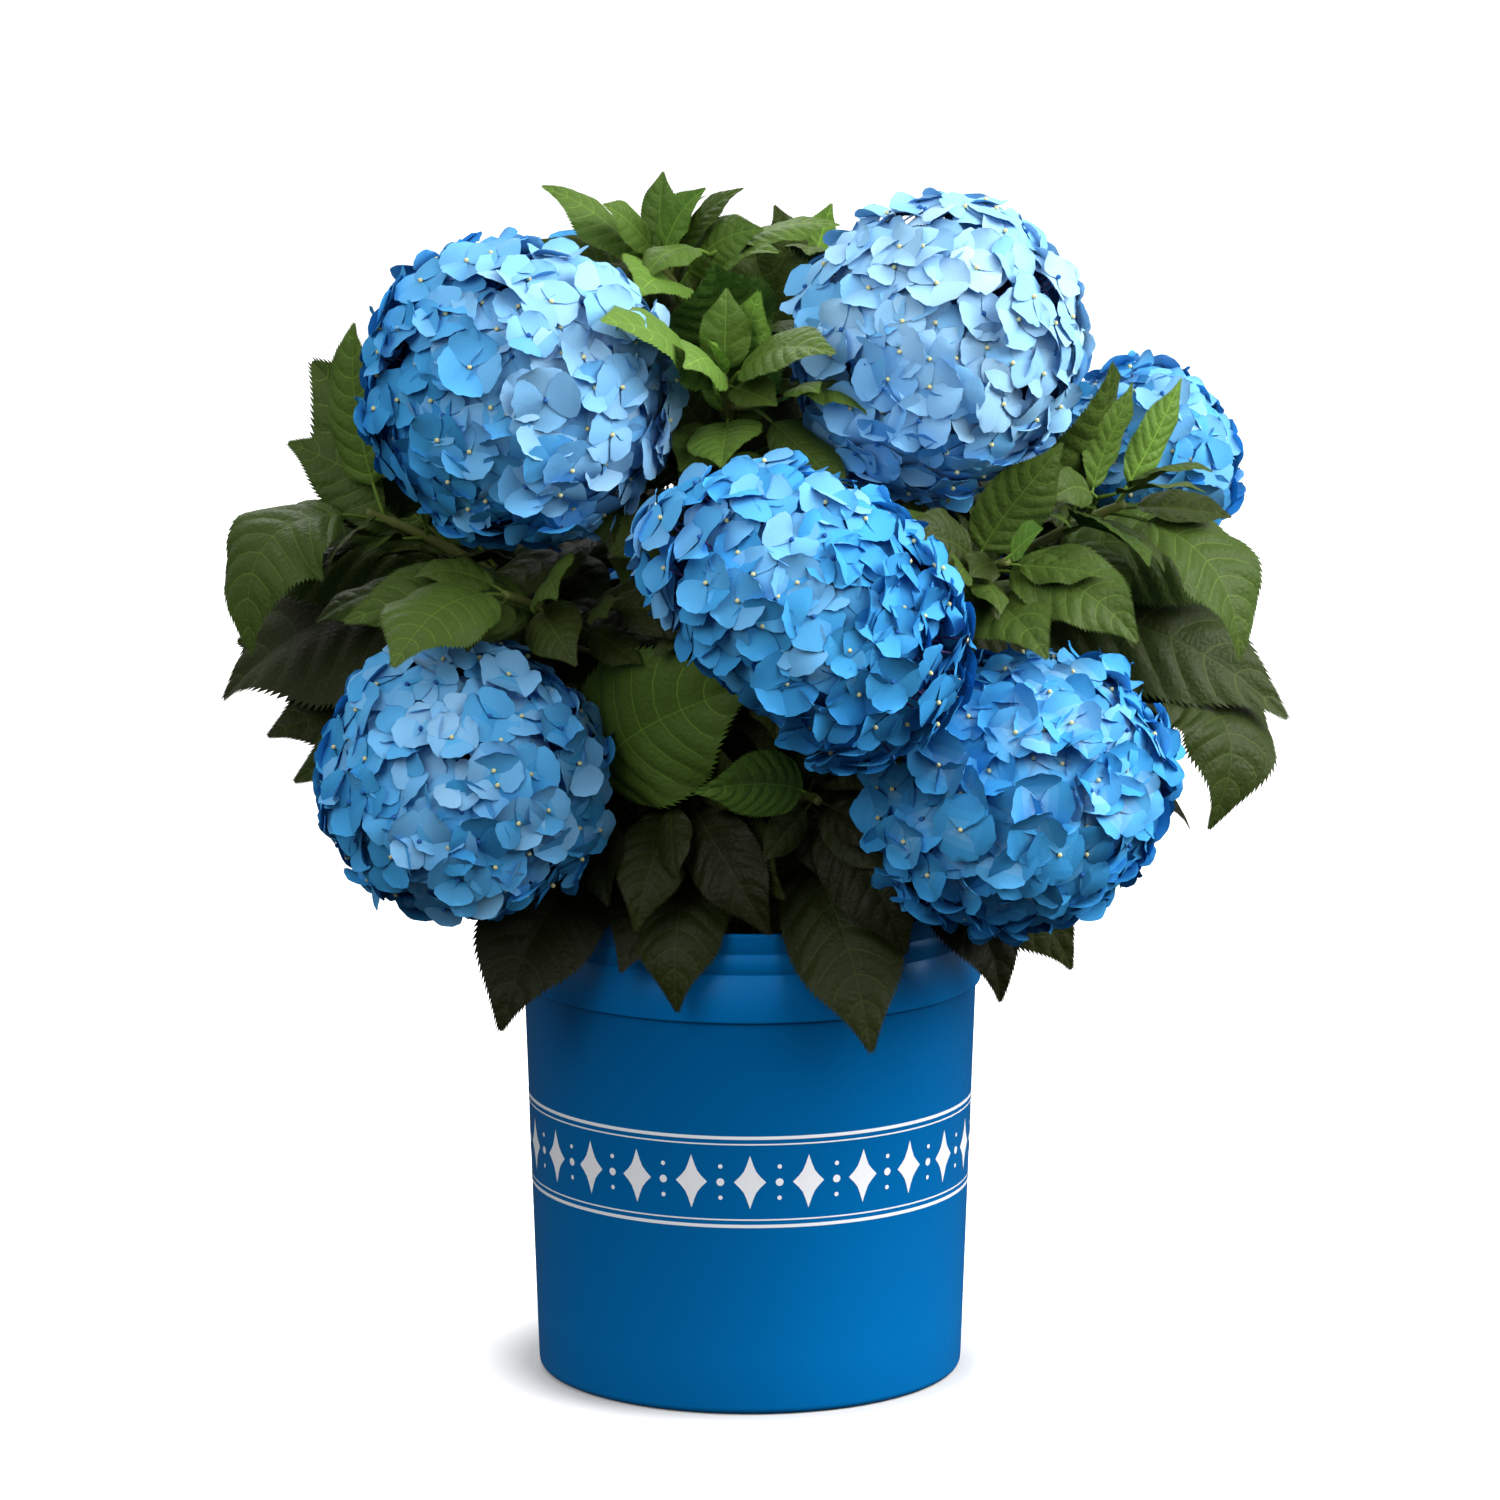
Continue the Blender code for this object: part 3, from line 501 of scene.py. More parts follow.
for side in (-1, 1):
    print_line(PRINT_MIDDLE + side * PRINT_HALF, BROAD_LINE)
    print_line(PRINT_MIDDLE + side * (PRINT_HALF - LINE_GAP), FINE_LINE)
for i in range(LOZENGES):
    angle = 2 * math.pi * i / LOZENGES
    between = angle + math.pi / LOZENGES
    print_patch(angle, PRINT_MIDDLE, lozenge(*LOZENGE_SIZE, LOZENGE_HOLLOW))
    print_patch(between, PRINT_MIDDLE, dot(DOT))
    for side in (-1, 1):
        print_patch(between, PRINT_MIDDLE + side * DOT_RISE, dot(SMALL_DOT))
band.build([white_print], "pot")

# %% [markdown]
# ## The soil and the woody crown
# The soil is a low heap of peat and bark crumbs. A fine grid that dips at the edge and is shaken by noise
# gives the heap, and loose crumbs on top break its outline. The old woody crown in the middle is a turned
# stump whose bark ridges come from the same noise, stretched along the stem.

# %% Soil
SOIL_SIDES, SOIL_RINGS = 96, 26
SOIL_CLEAR = 0.0006
SOIL_SPREAD = 0.985  # how far out the heap goes, over the plain solid's radius
SOIL_SETTLED = 0.0016  # how far the middle of the heap lies under the plain solid's top
EDGE_START, EDGE_WIDTH, EDGE_DROP = 0.72, 0.28, 0.005  # where the soil starts to fall, and how far
LUMPS = ((60, 0, 0.0022), (210, 3, 0.0011))  # how fine, which slice of the noise, and how high
CRUMBS = 420
CRUMB_SIZES = (0.0010, 0.0032)
CRUMB_SPREAD = 0.95
CRUMB_LINE = ((-1, 0.4), (-0.3, 0.8), (0.4, 0.7), (1, 0.3))  # how far along a crumb, and how thick
CRUMB_RISE, CRUMB_TILT, CRUMB_SIDES = 0.3, 0.3, 5
CHIP_EVERY = 3  # every third crumb is a chip of bark


def soil_height(x, y):
    """The height of the soil there: flat in the middle, lower at the edge, lumpy all over."""
    edge = max(0, math.hypot(x, y) / soil_high.x - EDGE_START) / EDGE_WIDTH
    lumps = sum(noise.noise(Vector((x, y, part)) * fine) * high for fine, part, high in LUMPS)
    return soil_high.z - SOIL_SETTLED - EDGE_DROP * edge + lumps


def soil_points():
    radii = [soil_high.x * SOIL_SPREAD * (ring + 1) / SOIL_RINGS for ring in range(SOIL_RINGS)]
    turn = [2 * math.pi * i / SOIL_SIDES for i in range(SOIL_SIDES)]
    rings = []
    for radius in radii:
        ring = [(radius * math.cos(angle), radius * math.sin(angle)) for angle in turn]
        rings.append([(x, y, soil_height(x, y)) for x, y in ring])
    foot = soil_low.z + SOIL_CLEAR
    foot_radius = wall_radius(foot) - POT_WALL - SOIL_CLEAR
    rings.append([(foot_radius * math.cos(angle), foot_radius * math.sin(angle), foot) for angle in turn])
    return np.array(rings).reshape(-1, 3)


peat = finish("peat", srgb(58, 44, 33), roughness=0.95, specular=0.2)
peat_grain = grained(peat, scale=420, strength=0.9, distance=0.0012)
mottled(peat, peat_grain, [srgb(34, 25, 18), srgb(66, 49, 36), srgb(104, 82, 60)])
bark_chip = finish("bark_chip", srgb(96, 70, 46), roughness=0.9, specular=0.2)
soil = Piece("soil_heap")
heap = soil_points()
soil.add(heap, grid_triangles(SOIL_RINGS + 1, SOIL_SIDES, True)[:, ::-1], 0)
heap_top, heap_foot = (0, 0, soil_height(0, 0)), (0, 0, soil_low.z + SOIL_CLEAR)
lid_points, lid_triangles = lids(heap, SOIL_SIDES, heap_top, heap_foot)
soil.add(lid_points, lid_triangles[:, [0, 2, 1]], 0)
chance = random.Random("crumbs")
for crumb in range(CRUMBS):
    radius = soil_high.x * CRUMB_SPREAD * math.sqrt(chance.random())
    angle = chance.uniform(0, 2 * math.pi)
    x, y = radius * math.cos(angle), radius * math.sin(angle)
    size = chance.uniform(*CRUMB_SIZES)
    way = Vector((chance.uniform(-1, 1), chance.uniform(-1, 1), chance.uniform(-CRUMB_TILT, CRUMB_TILT)))
    way = way.normalized() * size
    place = Vector((x, y, soil_height(x, y) + size * CRUMB_RISE))
    line = [place + way * along for along, thick in CRUMB_LINE]
    radii = [size * thick for along, thick in CRUMB_LINE]
    soil.add(*tube(line, radii, CRUMB_SIDES), 0 if crumb % CHIP_EVERY else 1)
soil.build([peat, bark_chip], "soil", "soil")

# %% Woody crown
stump_low, stump_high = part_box("stem_base")
STUMP_SIDES, STUMP_RINGS = 40, 22
NECK_WIDTH, FOOT_FLARE = 0.52, 0.40  # shares of the plain solid's radius
SHOULDER_START, SHOULDER, SHOULDER_DRAW = 0.8, 0.2, 0.65  # where the top rounds in, and by how much
RIDGE_HEIGHT, RIDGES_ROUND, RIDGES_UP = 0.13, 3.5, 1.5
old_bark = finish("old_bark", srgb(112, 92, 66), roughness=0.85, specular=0.3)
old_bark_grain = grained(old_bark, scale=300, strength=0.8, distance=0.001, stretch=(1, 1, 0.25))
mottled(old_bark, old_bark_grain, [srgb(66, 50, 34), srgb(118, 96, 70), srgb(150, 128, 96)])


def stump_radius(share, angle):
    """The stump's radius: flared at the foot, drawn in at the neck, and ridged."""
    neck = (stump_high.x - stump_low.x) / 2 * (NECK_WIDTH + FOOT_FLARE * (1 - share) ** 4)
    around = Vector((math.cos(angle) * RIDGES_ROUND, math.sin(angle) * RIDGES_ROUND, share * RIDGES_UP))
    return neck * (1 + RIDGE_HEIGHT * noise.noise(around))


stump = Piece("woody_crown")
rings = []
for ring in range(STUMP_RINGS + 1):
    share = ring / STUMP_RINGS
    into_top = max(0, share - SHOULDER_START) / SHOULDER
    shoulder = math.sqrt(max(0.0, 1 - into_top**2 * SHOULDER_DRAW))
    height = stump_low.z + (stump_high.z - stump_low.z) * share
    for i in range(STUMP_SIDES):
        angle = 2 * math.pi * i / STUMP_SIDES
        radius = stump_radius(share, angle) * shoulder
        rings.append((radius * math.cos(angle), radius * math.sin(angle), height))
stump.add(np.array(rings), grid_triangles(STUMP_RINGS + 1, STUMP_SIDES, True), 0)
stump.add(*lids(np.array(rings), STUMP_SIDES, (0, 0, stump_low.z), (0, 0, stump_high.z)), 0)
stump.build([old_bark], "stem", "stem_base")

# %% [markdown]
# ## How the shrub grows
# Every shoot follows one rule. Its tip lies at a bearing, a rise and a reach from the middle of the dome.
# Its foot stands in the soil on one of three rings round the woody crown, the highest shoots innermost,
# and only the topmost shoot stands on the crown itself. Between foot and tip runs a curve that rises
# upright and arrives aimed outwards. The lower part is bare cane, the rest carries leaves in pairs, each
# pair a quarter turn round from the one below, and nine of the shoots end in a flower head. Random
# placing would give a shrub too, but not this one, so each tip and each showy leaf is listed one by one.

# %% Shoots and flower heads
DOME_CENTRE = Vector((0, 0, 0.42))
DOME_HALF_WIDTH, DOME_TOP, LOWEST_LEAF = 0.290, 0.653, 0.203
DOME_HALF_HEIGHTS = (0.225, 0.215)  # of the rounded crown, above and below its centre
CANE_HANDLE_SHARE = 0.42  # of the span from foot to tip
AIM_RISE_SHARE, AIM_RISE = 0.55, 14  # the aim's rise from the tip's own rise, then in degrees
CANE_FOOT_RADIUS, CANE_TIP_RADIUS = 0.0046, 0.0024
FOOT_RINGS = ((30, 0.030), (4, 0.044), (-90, 0.058))  # shoots above this rise stand on this ring
CLEARANCE = 0.0004
NEAR = 0.002  # half of a stretch that is short enough to give a direction
HEAD_ROOM = 1.02  # how much larger than its globe the room is that a head keeps free
Shoot = namedtuple("Shoot", "bearing rise reach pairs leaf_length turn bare")
Head = namedtuple("Head", "across tall deep tilt")

# Shoots: where the tip lies from the dome's centre, then their leaves and how much of them is bare cane.
SHOOTS = {
    "upper_left": Shoot(315.6, 36.7, 0.209, 4, 0.115, 20, 0.46),
    "upper_right": Shoot(43.3, 46.6, 0.200, 4, 0.115, 70, 0.46),
    "far_right": Shoot(103, 18, 0.232, 4, 0.115, 10, 0.44),
    "centre": Shoot(6.8, 6.7, 0.212, 3, 0.105, 30, 0.40),
    "lower_left": Shoot(310.8, -21.1, 0.213, 3, 0.110, 55, 0.32),
    "lower_right": Shoot(48, -22.3, 0.212, 3, 0.110, 0, 0.32),
    "back_left": Shoot(218, 33, 0.205, 4, 0.115, 15, 0.46),
    "back_right": Shoot(147, 14, 0.210, 4, 0.115, 60, 0.44),
    "back_low": Shoot(192, -20, 0.212, 3, 0.115, 35, 0.32),
    "crown_top": Shoot(292, 74, 0.192, 5, 0.112, 40, 0.45),
    "middle": Shoot(354, 46, 0.186, 4, 0.098, 0, 0.50),
    "back_top": Shoot(165, 52, 0.195, 5, 0.115, 25, 0.45),
    "left_front": Shoot(317, 7, 0.188, 4, 0.100, 45, 0.46),
    "left": Shoot(278, 14, 0.212, 4, 0.125, 10, 0.42),
    "left_low": Shoot(266, -16, 0.200, 4, 0.125, 60, 0.34),
    "back_left_low": Shoot(234, -14, 0.205, 4, 0.125, 30, 0.34),
    "right_front": Shoot(44, 12, 0.195, 4, 0.098, 30, 0.48),
    "right": Shoot(76, 16, 0.212, 4, 0.125, 80, 0.42),
    "right_low": Shoot(88, -15, 0.200, 4, 0.120, 20, 0.34),
    "back_right_low": Shoot(131, -19, 0.200, 4, 0.125, 65, 0.34),
    "front_low_left": Shoot(341, -32, 0.158, 4, 0.105, 50, 0.30),
    "front_low_right": Shoot(15, -32, 0.162, 4, 0.105, 10, 0.30),
}

# Flower heads: their half sizes across, up and front to back, and how far the long side leans to the right.
HEADS = {
    "upper_left": Head(0.085, 0.081, 0.080, 0),
    "upper_right": Head(0.077, 0.080, 0.075, 0),
    "far_right": Head(0.054, 0.054, 0.054, 0),
    "centre": Head(0.100, 0.071, 0.070, 30),
    "lower_left": Head(0.082, 0.077, 0.077, 0),
    "lower_right": Head(0.087, 0.075, 0.074, 0),
    "back_left": Head(0.082, 0.080, 0.079, 0),
    "back_right": Head(0.080, 0.077, 0.077, 0),
    "back_low": Head(0.078, 0.074, 0.074, 0),
}

# %% The line of a shoot
def toward(bearing, rise):
    """A unit vector that way: the bearing is degrees round from the front, the rise degrees above level."""
    turn, lift = math.radians(bearing), math.radians(rise)
    return Vector((math.sin(turn) * math.cos(lift), -math.cos(turn) * math.cos(lift), math.sin(lift)))


def tip_of(name):
    shoot = SHOOTS[name]
    return DOME_CENTRE + shoot.reach * toward(shoot.bearing, shoot.rise)


class Path:
    """A tapering cubic Bezier with its distances measured along it."""

    SAMPLES = 80

    def __init__(self, handles, foot_radius, tip_radius):
        self.handles, self.foot_radius, self.tip_radius = handles, foot_radius, tip_radius
        self.points = [self.bezier(i / self.SAMPLES) for i in range(self.SAMPLES + 1)]
        self.lengths = [0.0]
        for before, after in zip(self.points, self.points[1:]):
            self.lengths.append(self.lengths[-1] + (after - before).length)
        self.length = self.lengths[-1]
        self.tip = handles[3]

    def bezier(self, t):
        a, b, c, d = self.handles
        u = 1 - t
        return u**3 * a + 3 * u * u * t * b + 3 * u * t * t * c + t**3 * d

    def at(self, distance):
        """The point that far along."""
        distance = min(max(distance, 0), self.length)
        i = max(1, next((k for k, length in enumerate(self.lengths) if length >= distance), self.SAMPLES))
        share = (distance - self.lengths[i - 1]) / (self.lengths[i] - self.lengths[i - 1])
        return self.points[i - 1].lerp(self.points[i], share)

    def tangent(self, distance):
        return (self.at(distance + NEAR) - self.at(distance - NEAR)).normalized()

    def radius(self, distance):
        return self.foot_radius + (self.tip_radius - self.foot_radius) * distance / self.length

    def stretch(self, start, end, step):
        """(points, radii) along part of the path, about a step apart."""
        count = max(2, round((end - start) / step) + 1)
        distances = [start + (end - start) * i / (count - 1) for i in range(count)]
        radii = [self.radius(distance) for distance in distances]
        return [self.at(distance) for distance in distances], radii


def shoot_path(name):
    shoot = SHOOTS[name]
    if name == "crown_top":
        foot = Vector((0, 0, stump_high.z + CLEARANCE))
    else:
        ring = next(radius for least_rise, radius in FOOT_RINGS if shoot.rise > least_rise)
        foot = ring * toward(shoot.bearing, 0)
        foot.z = soil_high.z + CLEARANCE
    tip = tip_of(name)
    reach = CANE_HANDLE_SHARE * (tip - foot).length
    aim = toward(shoot.bearing, AIM_RISE_SHARE * shoot.rise + AIM_RISE)
    handles = (foot, foot + Vector((0, 0, reach)), tip - aim * reach, tip)
    return Path(handles, CANE_FOOT_RADIUS, CANE_TIP_RADIUS)


paths = {name: shoot_path(name) for name in SHOOTS}
spans = {}
for name, path in paths.items():
    start = path.length * SHOOTS[name].bare + CLEARANCE
    end = path.length
    if name in HEADS:
        end -= min(HEADS[name].deep, HEADS[name].tall) * HEAD_ROOM
    spans[name] = (start, end)
print(len(paths), "shoots,", round(sum(path.length for path in paths.values()), 2), "m of stem")

# %% [markdown]
# ## Canes
# The canes are a green that goes brown in patches, with a swollen ring at each old pair of leaves and
# faint ridges between. A curve with a bevel would be quick, but all its rings are round. Here each ring
# of the tube gets its own radii, so that swollen rings and ridges are real relief.

# %% Bark
NODE_SPACING = 0.034
NODE_SWELLING, NODE_HALF = 0.22, 0.0022  # how high over the radius, and how long
NODE_SHIFT = 0.011  # from one cane to the next
BARK_RIDGES, BARK_ROUND, BARK_ALONG = 0.09, 1.6, 90
CANE_SIDES = 12
CANE_RING_STEP = 0.0022
young_bark = finish("green_brown_bark", srgb(86, 88, 48), roughness=0.6, specular=0.35)
young_bark_grain = grained(young_bark, scale=700, strength=0.35, distance=0.0006, stretch=(1, 1, 0.3))
mottled(young_bark, young_bark_grain, [srgb(62, 52, 32), srgb(84, 88, 46), srgb(108, 116, 66)])
canes = Piece("canes")


def barked(path, start, end, seed, sides=CANE_SIDES, step=CANE_RING_STEP):
    """A tube along the path with swollen rings and ridges."""
    line, radii = path.stretch(start, end, step)
    turn = np.arange(sides) * 2 * math.pi / sides
    shaped = []
    for i, radius in enumerate(radii):
        distance = start + (end - start) * i / (len(radii) - 1)
        off = abs((distance + seed * NODE_SHIFT) % NODE_SPACING - NODE_SPACING / 2)
        swelling = NODE_SWELLING * math.exp(-((off / NODE_HALF) ** 2))
        ridges = []
        for angle in turn:
            spot = Vector((math.cos(angle) * BARK_ROUND, math.sin(angle) * BARK_ROUND, 0))
            spot.z = distance * BARK_ALONG + seed
            ridges.append(BARK_RIDGES * noise.noise(spot))
        shaped.append(radius * (1 + swelling + np.array(ridges)))
    return tube(line, shaped, sides)


for seed, (name, path) in enumerate(paths.items()):
    canes.add(*barked(path, 0, spans[name][0] - CLEARANCE, seed), 0)
canes.build([young_bark], "stem", *["cane_" + name for name in paths])

# %% [markdown]
# ## Flower heads
# A mophead is a globe of a hundred and more florets on thin stalks. Each floret is four broad sepals that
# overlap round a small bead. The globe could be one lumpy skin, but its charm is in the edges and the
# shadows between florets, so every sepal is a small curved sheet. Florets are spread evenly over the
# globe by the golden angle, then each is tilted and sunk by its own amount, and a second layer underneath,
# painted darker as shade, closes the gaps.

# %% The head's shape
STALK_BARE_CONE = 145  # degrees from the head's crown that florets reach to
UNEVEN = {  # the sides where florets stand lower than the even globe, by this share, or below zero fuller
    "centre": (((-0.83, -0.10, -0.62), 0.34),),
    "back_left": (((0.2, 0.2, 1.0), 0.16),),
    "far_right": (((0.85, 0.0, 0.5), 0.18),),
    "upper_left": (((-0.8, 0.0, 0.6), -0.09),),
    "upper_right": (((0.8, 0.0, 0.6), -0.09),),
    "lower_left": (((-0.3, 0.0, -0.95), 0.08),),
    "lower_right": (((-0.95, 0.0, -0.1), -0.12), ((0.8, 0.0, -0.6), 0.09)),
}
UNEVEN_START = 0.35  # how near to such a side the change begins


def head_axes(name):
    """(across, up, front) unit vectors of a head: it faces out of the dome, and may lean."""
    facing = toward(SHOOTS[name].bearing, 0)
    across = Vector((0, 0, 1)).cross(facing).normalized()
    across = -across if across.dot(Vector((1, 0, 0))) < 0 else across
    up = Vector((0, 0, 1))
    lean = math.radians(HEADS[name].tilt)
    leaning_across = across * math.cos(lean) - up * math.sin(lean)
    leaning_up = across * math.sin(lean) + up * math.cos(lean)
    return leaning_across, leaning_up, facing


def head_radius(name, direction):
    """How far the head reaches that way."""
    head = HEADS[name]
    across, up, front = head_axes(name)
    a, b, c = direction.dot(across), direction.dot(up), direction.dot(front)
    return 1 / math.sqrt((a / head.across) ** 2 + (b / head.tall) ** 2 + (c / head.deep) ** 2)


def floret_radius(name, direction):
    """How far out the florets stand that way, in a head that is a little uneven."""
    share = 1
    for side, depth in UNEVEN.get(name, ()):
        near = direction.dot(Vector(side).normalized()) - UNEVEN_START
        near = min(1, max(0, near / (1 - UNEVEN_START)))
        share -= depth * near * near * (3 - 2 * near)
    return head_radius(name, direction) * share


def in_a_head(point, share):
    """Whether the point lies inside a head that is scaled by the share."""
    for name in HEADS:
        offset = point - paths[name].tip
        if offset.length < share * head_radius(name, offset.normalized()):
            return True
    return False


def spread_directions(count, axis):
    """Directions spread evenly over a globe, leaving out a cone round the stalk."""
    lowest = math.cos(math.radians(STALK_BARE_CONE))
    first = axis.orthogonal().normalized()
    second = axis.cross(first)
    golden = math.pi * (3 - math.sqrt(5))
    found = []
    for i in range(count):
        height = 1 - (1 - lowest) * (i + 0.5) / count
        flat = math.sqrt(1 - height * height)
        turn = golden * i
        found.append(axis * height + first * flat * math.cos(turn) + second * flat * math.sin(turn))
    return found


print("the centre head is", round(2000 * HEADS["centre"].across), "mm across")

# %% A sepal
THROAT_REACH, RIM_START = 0.75, 0.74  # shares of a sepal: where its throat ends and its edge begins
RUFFLES, SIDE_PULL = 5, 0.06  # how fast the edge waves, and how far its sides are drawn back
Sheet = namedtuple("Sheet", "along wide side triangles throat rim")


def sepal_sheet(outline, columns):
    """The flat grid of a sepal, from rows of (share of the length, share of the half width)."""
    along = np.repeat([row[0] for row in outline], len(columns))
    wide = np.repeat([row[1] for row in outline], len(columns))
    triangles = grid_triangles(len(outline), len(columns))[:, ::-1]
    middles = [(low[0] + high[0]) / 2 for low, high in zip(outline, outline[1:])]
    cell_along = np.repeat(middles, len(columns) - 1)
    cell_side = np.tile([abs(low + high) / 2 for low, high in zip(columns, columns[1:])], len(middles))
    throat = np.clip(1 - cell_along / THROAT_REACH, 0, 1)
    rim = np.maximum(cell_along > RIM_START, cell_side > RIM_START)
    side = np.tile(columns, len(outline))
    return Sheet(along, wide, side, triangles, np.tile(throat, 2), np.tile(rim.astype(float), 2))


FINE_SEPAL = sepal_sheet(
    ((0.05, 0.20), (0.27, 0.66), (0.54, 0.97), (0.77, 0.94), (0.93, 0.62), (1.00, 0.24)),
    (-1.0, -0.55, 0.0, 0.55, 1.0),
)
PLAIN_SEPAL = sepal_sheet(((0.05, 0.20), (0.48, 0.95), (0.86, 0.80), (1.00, 0.26)), (-1.0, 0.0, 1.0))


def sepal(sheet, length, half_width, cup, arch, ruffle, phase):
    """Points of one sepal along +X, its upper side to +Z, with a curved and ruffled surface."""
    across = sheet.side * sheet.wide
    lift = cup * sheet.along**2 - arch * across**2
    lift += ruffle * across * np.sin(RUFFLES * sheet.along + phase) * sheet.along
    pull = 1 - SIDE_PULL * np.abs(sheet.side) ** 2 * sheet.along
    return np.stack([length * sheet.along * pull, half_width * across, length * lift], 1)


print("a sepal has", len(FINE_SEPAL.triangles), "triangles, a hidden one", len(PLAIN_SEPAL.triangles))

# %% A floret
FLORET_REACH = 0.0160  # from the bead to the end of a mean sepal
BEAD_RADIUS = 0.0013
BEAD_RINGS = ((-0.9, 0.4), (-0.5, 0.9), (0.2, 1.0), (0.8, 0.55))  # height and width, over the radius
BEAD_SIDES = 7
BEAD_RISE = 0.10  # over the floret's size
PALE_BEADS = 0.7  # the share of beads that are cream
SEPAL_LENGTHS, SEPAL_WIDTHS = (0.90, 1.08), (0.60, 0.74)
CUPS, CUP_CHANGE, ARCHED, RUFFLED = (-0.10, 0.34), 0.10, (0.02, 0.22), (0.0, 0.14)
PHASES = (0, 6)
OVERLAP = (-0.02, 0.05)  # the height of the lower and of the upper pair
SEPAL_TURN = 0.16
SHADE_STEPS = (-1, 0, 0, 0, 0, 0, 1)  # one sepal in seven is darker, and one paler


def frame_round(way, spin):
    """Three unit vectors as rows: two across the way, turned by the spin, and the way itself."""
    first = way.orthogonal().normalized()
    second = way.cross(first)
    turned_first = first * math.cos(spin) + second * math.sin(spin)
    return np.array([turned_first, way.cross(turned_first), way])


bead_line = [Vector((0, 0, height)) for height, width in BEAD_RINGS]
bead_points, bead_triangles = tube(bead_line, [width for height, width in BEAD_RINGS], BEAD_SIDES)


def add_floret(piece, sheet, place, way, size, shade, look, chance):
    """Four sepals round a bead: opposite pairs lie one over the other."""
    axes = frame_round(way, chance.uniform(0, math.pi))
    cup = chance.uniform(*CUPS) * look.openness
    for quarter in range(4):
        length = size * chance.uniform(*SEPAL_LENGTHS)
        width = length * chance.uniform(*SEPAL_WIDTHS)
        own_cup = cup + chance.uniform(-CUP_CHANGE, CUP_CHANGE)
        arch, ruffle, phase = chance.uniform(*ARCHED), chance.uniform(*RUFFLED), chance.uniform(*PHASES)
        points = sepal(sheet, length, width, own_cup, arch, ruffle, phase)
        points[:, 2] += size * OVERLAP[quarter % 2]
        turn = math.pi / 2 * quarter + chance.uniform(-SEPAL_TURN, SEPAL_TURN)
        cos, sin = math.cos(turn), math.sin(turn)
        spin = np.array([[cos, sin, 0], [-sin, cos, 0], [0, 0, 1]])
        own_shade = min(max(shade + chance.choice(SHADE_STEPS), 0), SHADES - 1)
        finishes = own_shade + np.rint(look.throat * sheet.throat + look.rim * sheet.rim).astype(int)
        finishes = np.clip(finishes, 0, SHADES - 1)
        piece.add(np.array(place) + points @ spin @ axes, sheet.triangles, finishes)
    if sheet is PLAIN_SEPAL:
        return
    middle = np.array(place + way * size * BEAD_RISE)
    bead_finish = CREAM_BEAD if chance.random() < PALE_BEADS else BLUE_BEAD
    piece.add(middle + bead_points @ axes * BEAD_RADIUS, bead_triangles, bead_finish)


# %% Petal colours
SHADES = 14
DEEP_BLUE, SKY_BLUE, PALE_BLUE = srgb(6, 102, 172), srgb(66, 160, 220), srgb(172, 211, 238)


def blue_shade(number):
    """The shades run from deep to sky blue, then to the palest."""
    share = number / (SHADES - 1) * 2
    low, high = (DEEP_BLUE, SKY_BLUE) if share < 1 else (SKY_BLUE, PALE_BLUE)
    share = share if share < 1 else share - 1
    return tuple(a + (b - a) * share for a, b in zip(low, high))


bloom_colours = [(f"petal_{number}", blue_shade(number)) for number in range(SHADES)]
bloom_colours += [("cream_bead", srgb(214, 210, 158)), ("blue_bead", srgb(44, 100, 170))]
bloom_colours.append(("dusky_stalk", srgb(84, 70, 122)))
CREAM_BEAD, BLUE_BEAD, STALK_FINISH = SHADES, SHADES + 1, SHADES + 2
petal_finishes = [finish(name, colour, roughness=0.6, specular=0.12) for name, colour in bloom_colours]
for petal_finish in petal_finishes[:SHADES]:
    grained(petal_finish, scale=520, strength=0.25, distance=0.0006)
print(len(petal_finishes), "finishes for the flower heads")

# %% Growing the heads
Bloom = namedtuple("Bloom", "shade paler_to paler_by throat rim openness")
BLOOMS = {  # the shade in the middle, the side where painted light makes the head paler and by how much, and its florets' colouring
    "upper_left": Bloom(7.2, (0.85, -0.35, 0.35), 3.6, 0, 0, 1.0),
    "upper_right": Bloom(9.6, (0.55, -0.30, 0.60), 1.8, 0, 0, 1.0),
    "far_right": Bloom(6.8, (-0.4, -0.6, 0.5), 1.4, 0, 0, 1.0),
    "centre": Bloom(5.4, (-0.35, -0.55, 0.70), 2.0, 0, 0, 1.0),
    "lower_left": Bloom(6.6, (0.2, -0.7, 0.6), 1.6, -1, 0, 1.0),
    "lower_right": Bloom(5.0, (0.1, -0.6, 0.8), 1.8, 3, 0, 1.5),
    "back_left": Bloom(6.8, (0.3, 0.4, 0.8), 2.2, 0, 0, 1.0),
    "back_right": Bloom(5.8, (-0.3, 0.5, 0.8), 2.2, 3, 0, 1.2),
    "back_low": Bloom(6.8, (0.0, 0.7, 0.7), 1.8, -1, 0, 1.0),
}
FLORET_LEAN, FLORET_DRIFT = 0.30, 0.07
FLORET_SIZES = (0.86, 1.12)
FULL_SIZE_HEAD = 0.075  # smaller heads have smaller florets
FLORET_SHARE = 1.65  # how many times over the sepals cover the globe
FLORET_AREA, COVERED = 2.2, 0.91  # over the square of its reach, and the share of the globe with florets
OUTER_LAYER, INNER_LAYER = (0.85, 0.965), (0.68, 0.78)  # how deep the florets of each layer sit
# painted shade: the inner layer is this many shades darker; then how much a floret's shade varies at random
INNER_PAINTED_SHADE, SHADE_CHANGE = 5, 1.2
STALK_ROOT, STALK_BEND, STALK_SAG = 0.25, 0.55, Vector((0, 0, 0.002))
STALK_END = 0.001  # under the floret
STALK_SIDES = 4
STALK_RADII = (0.0009, 0.0007, 0.0006)


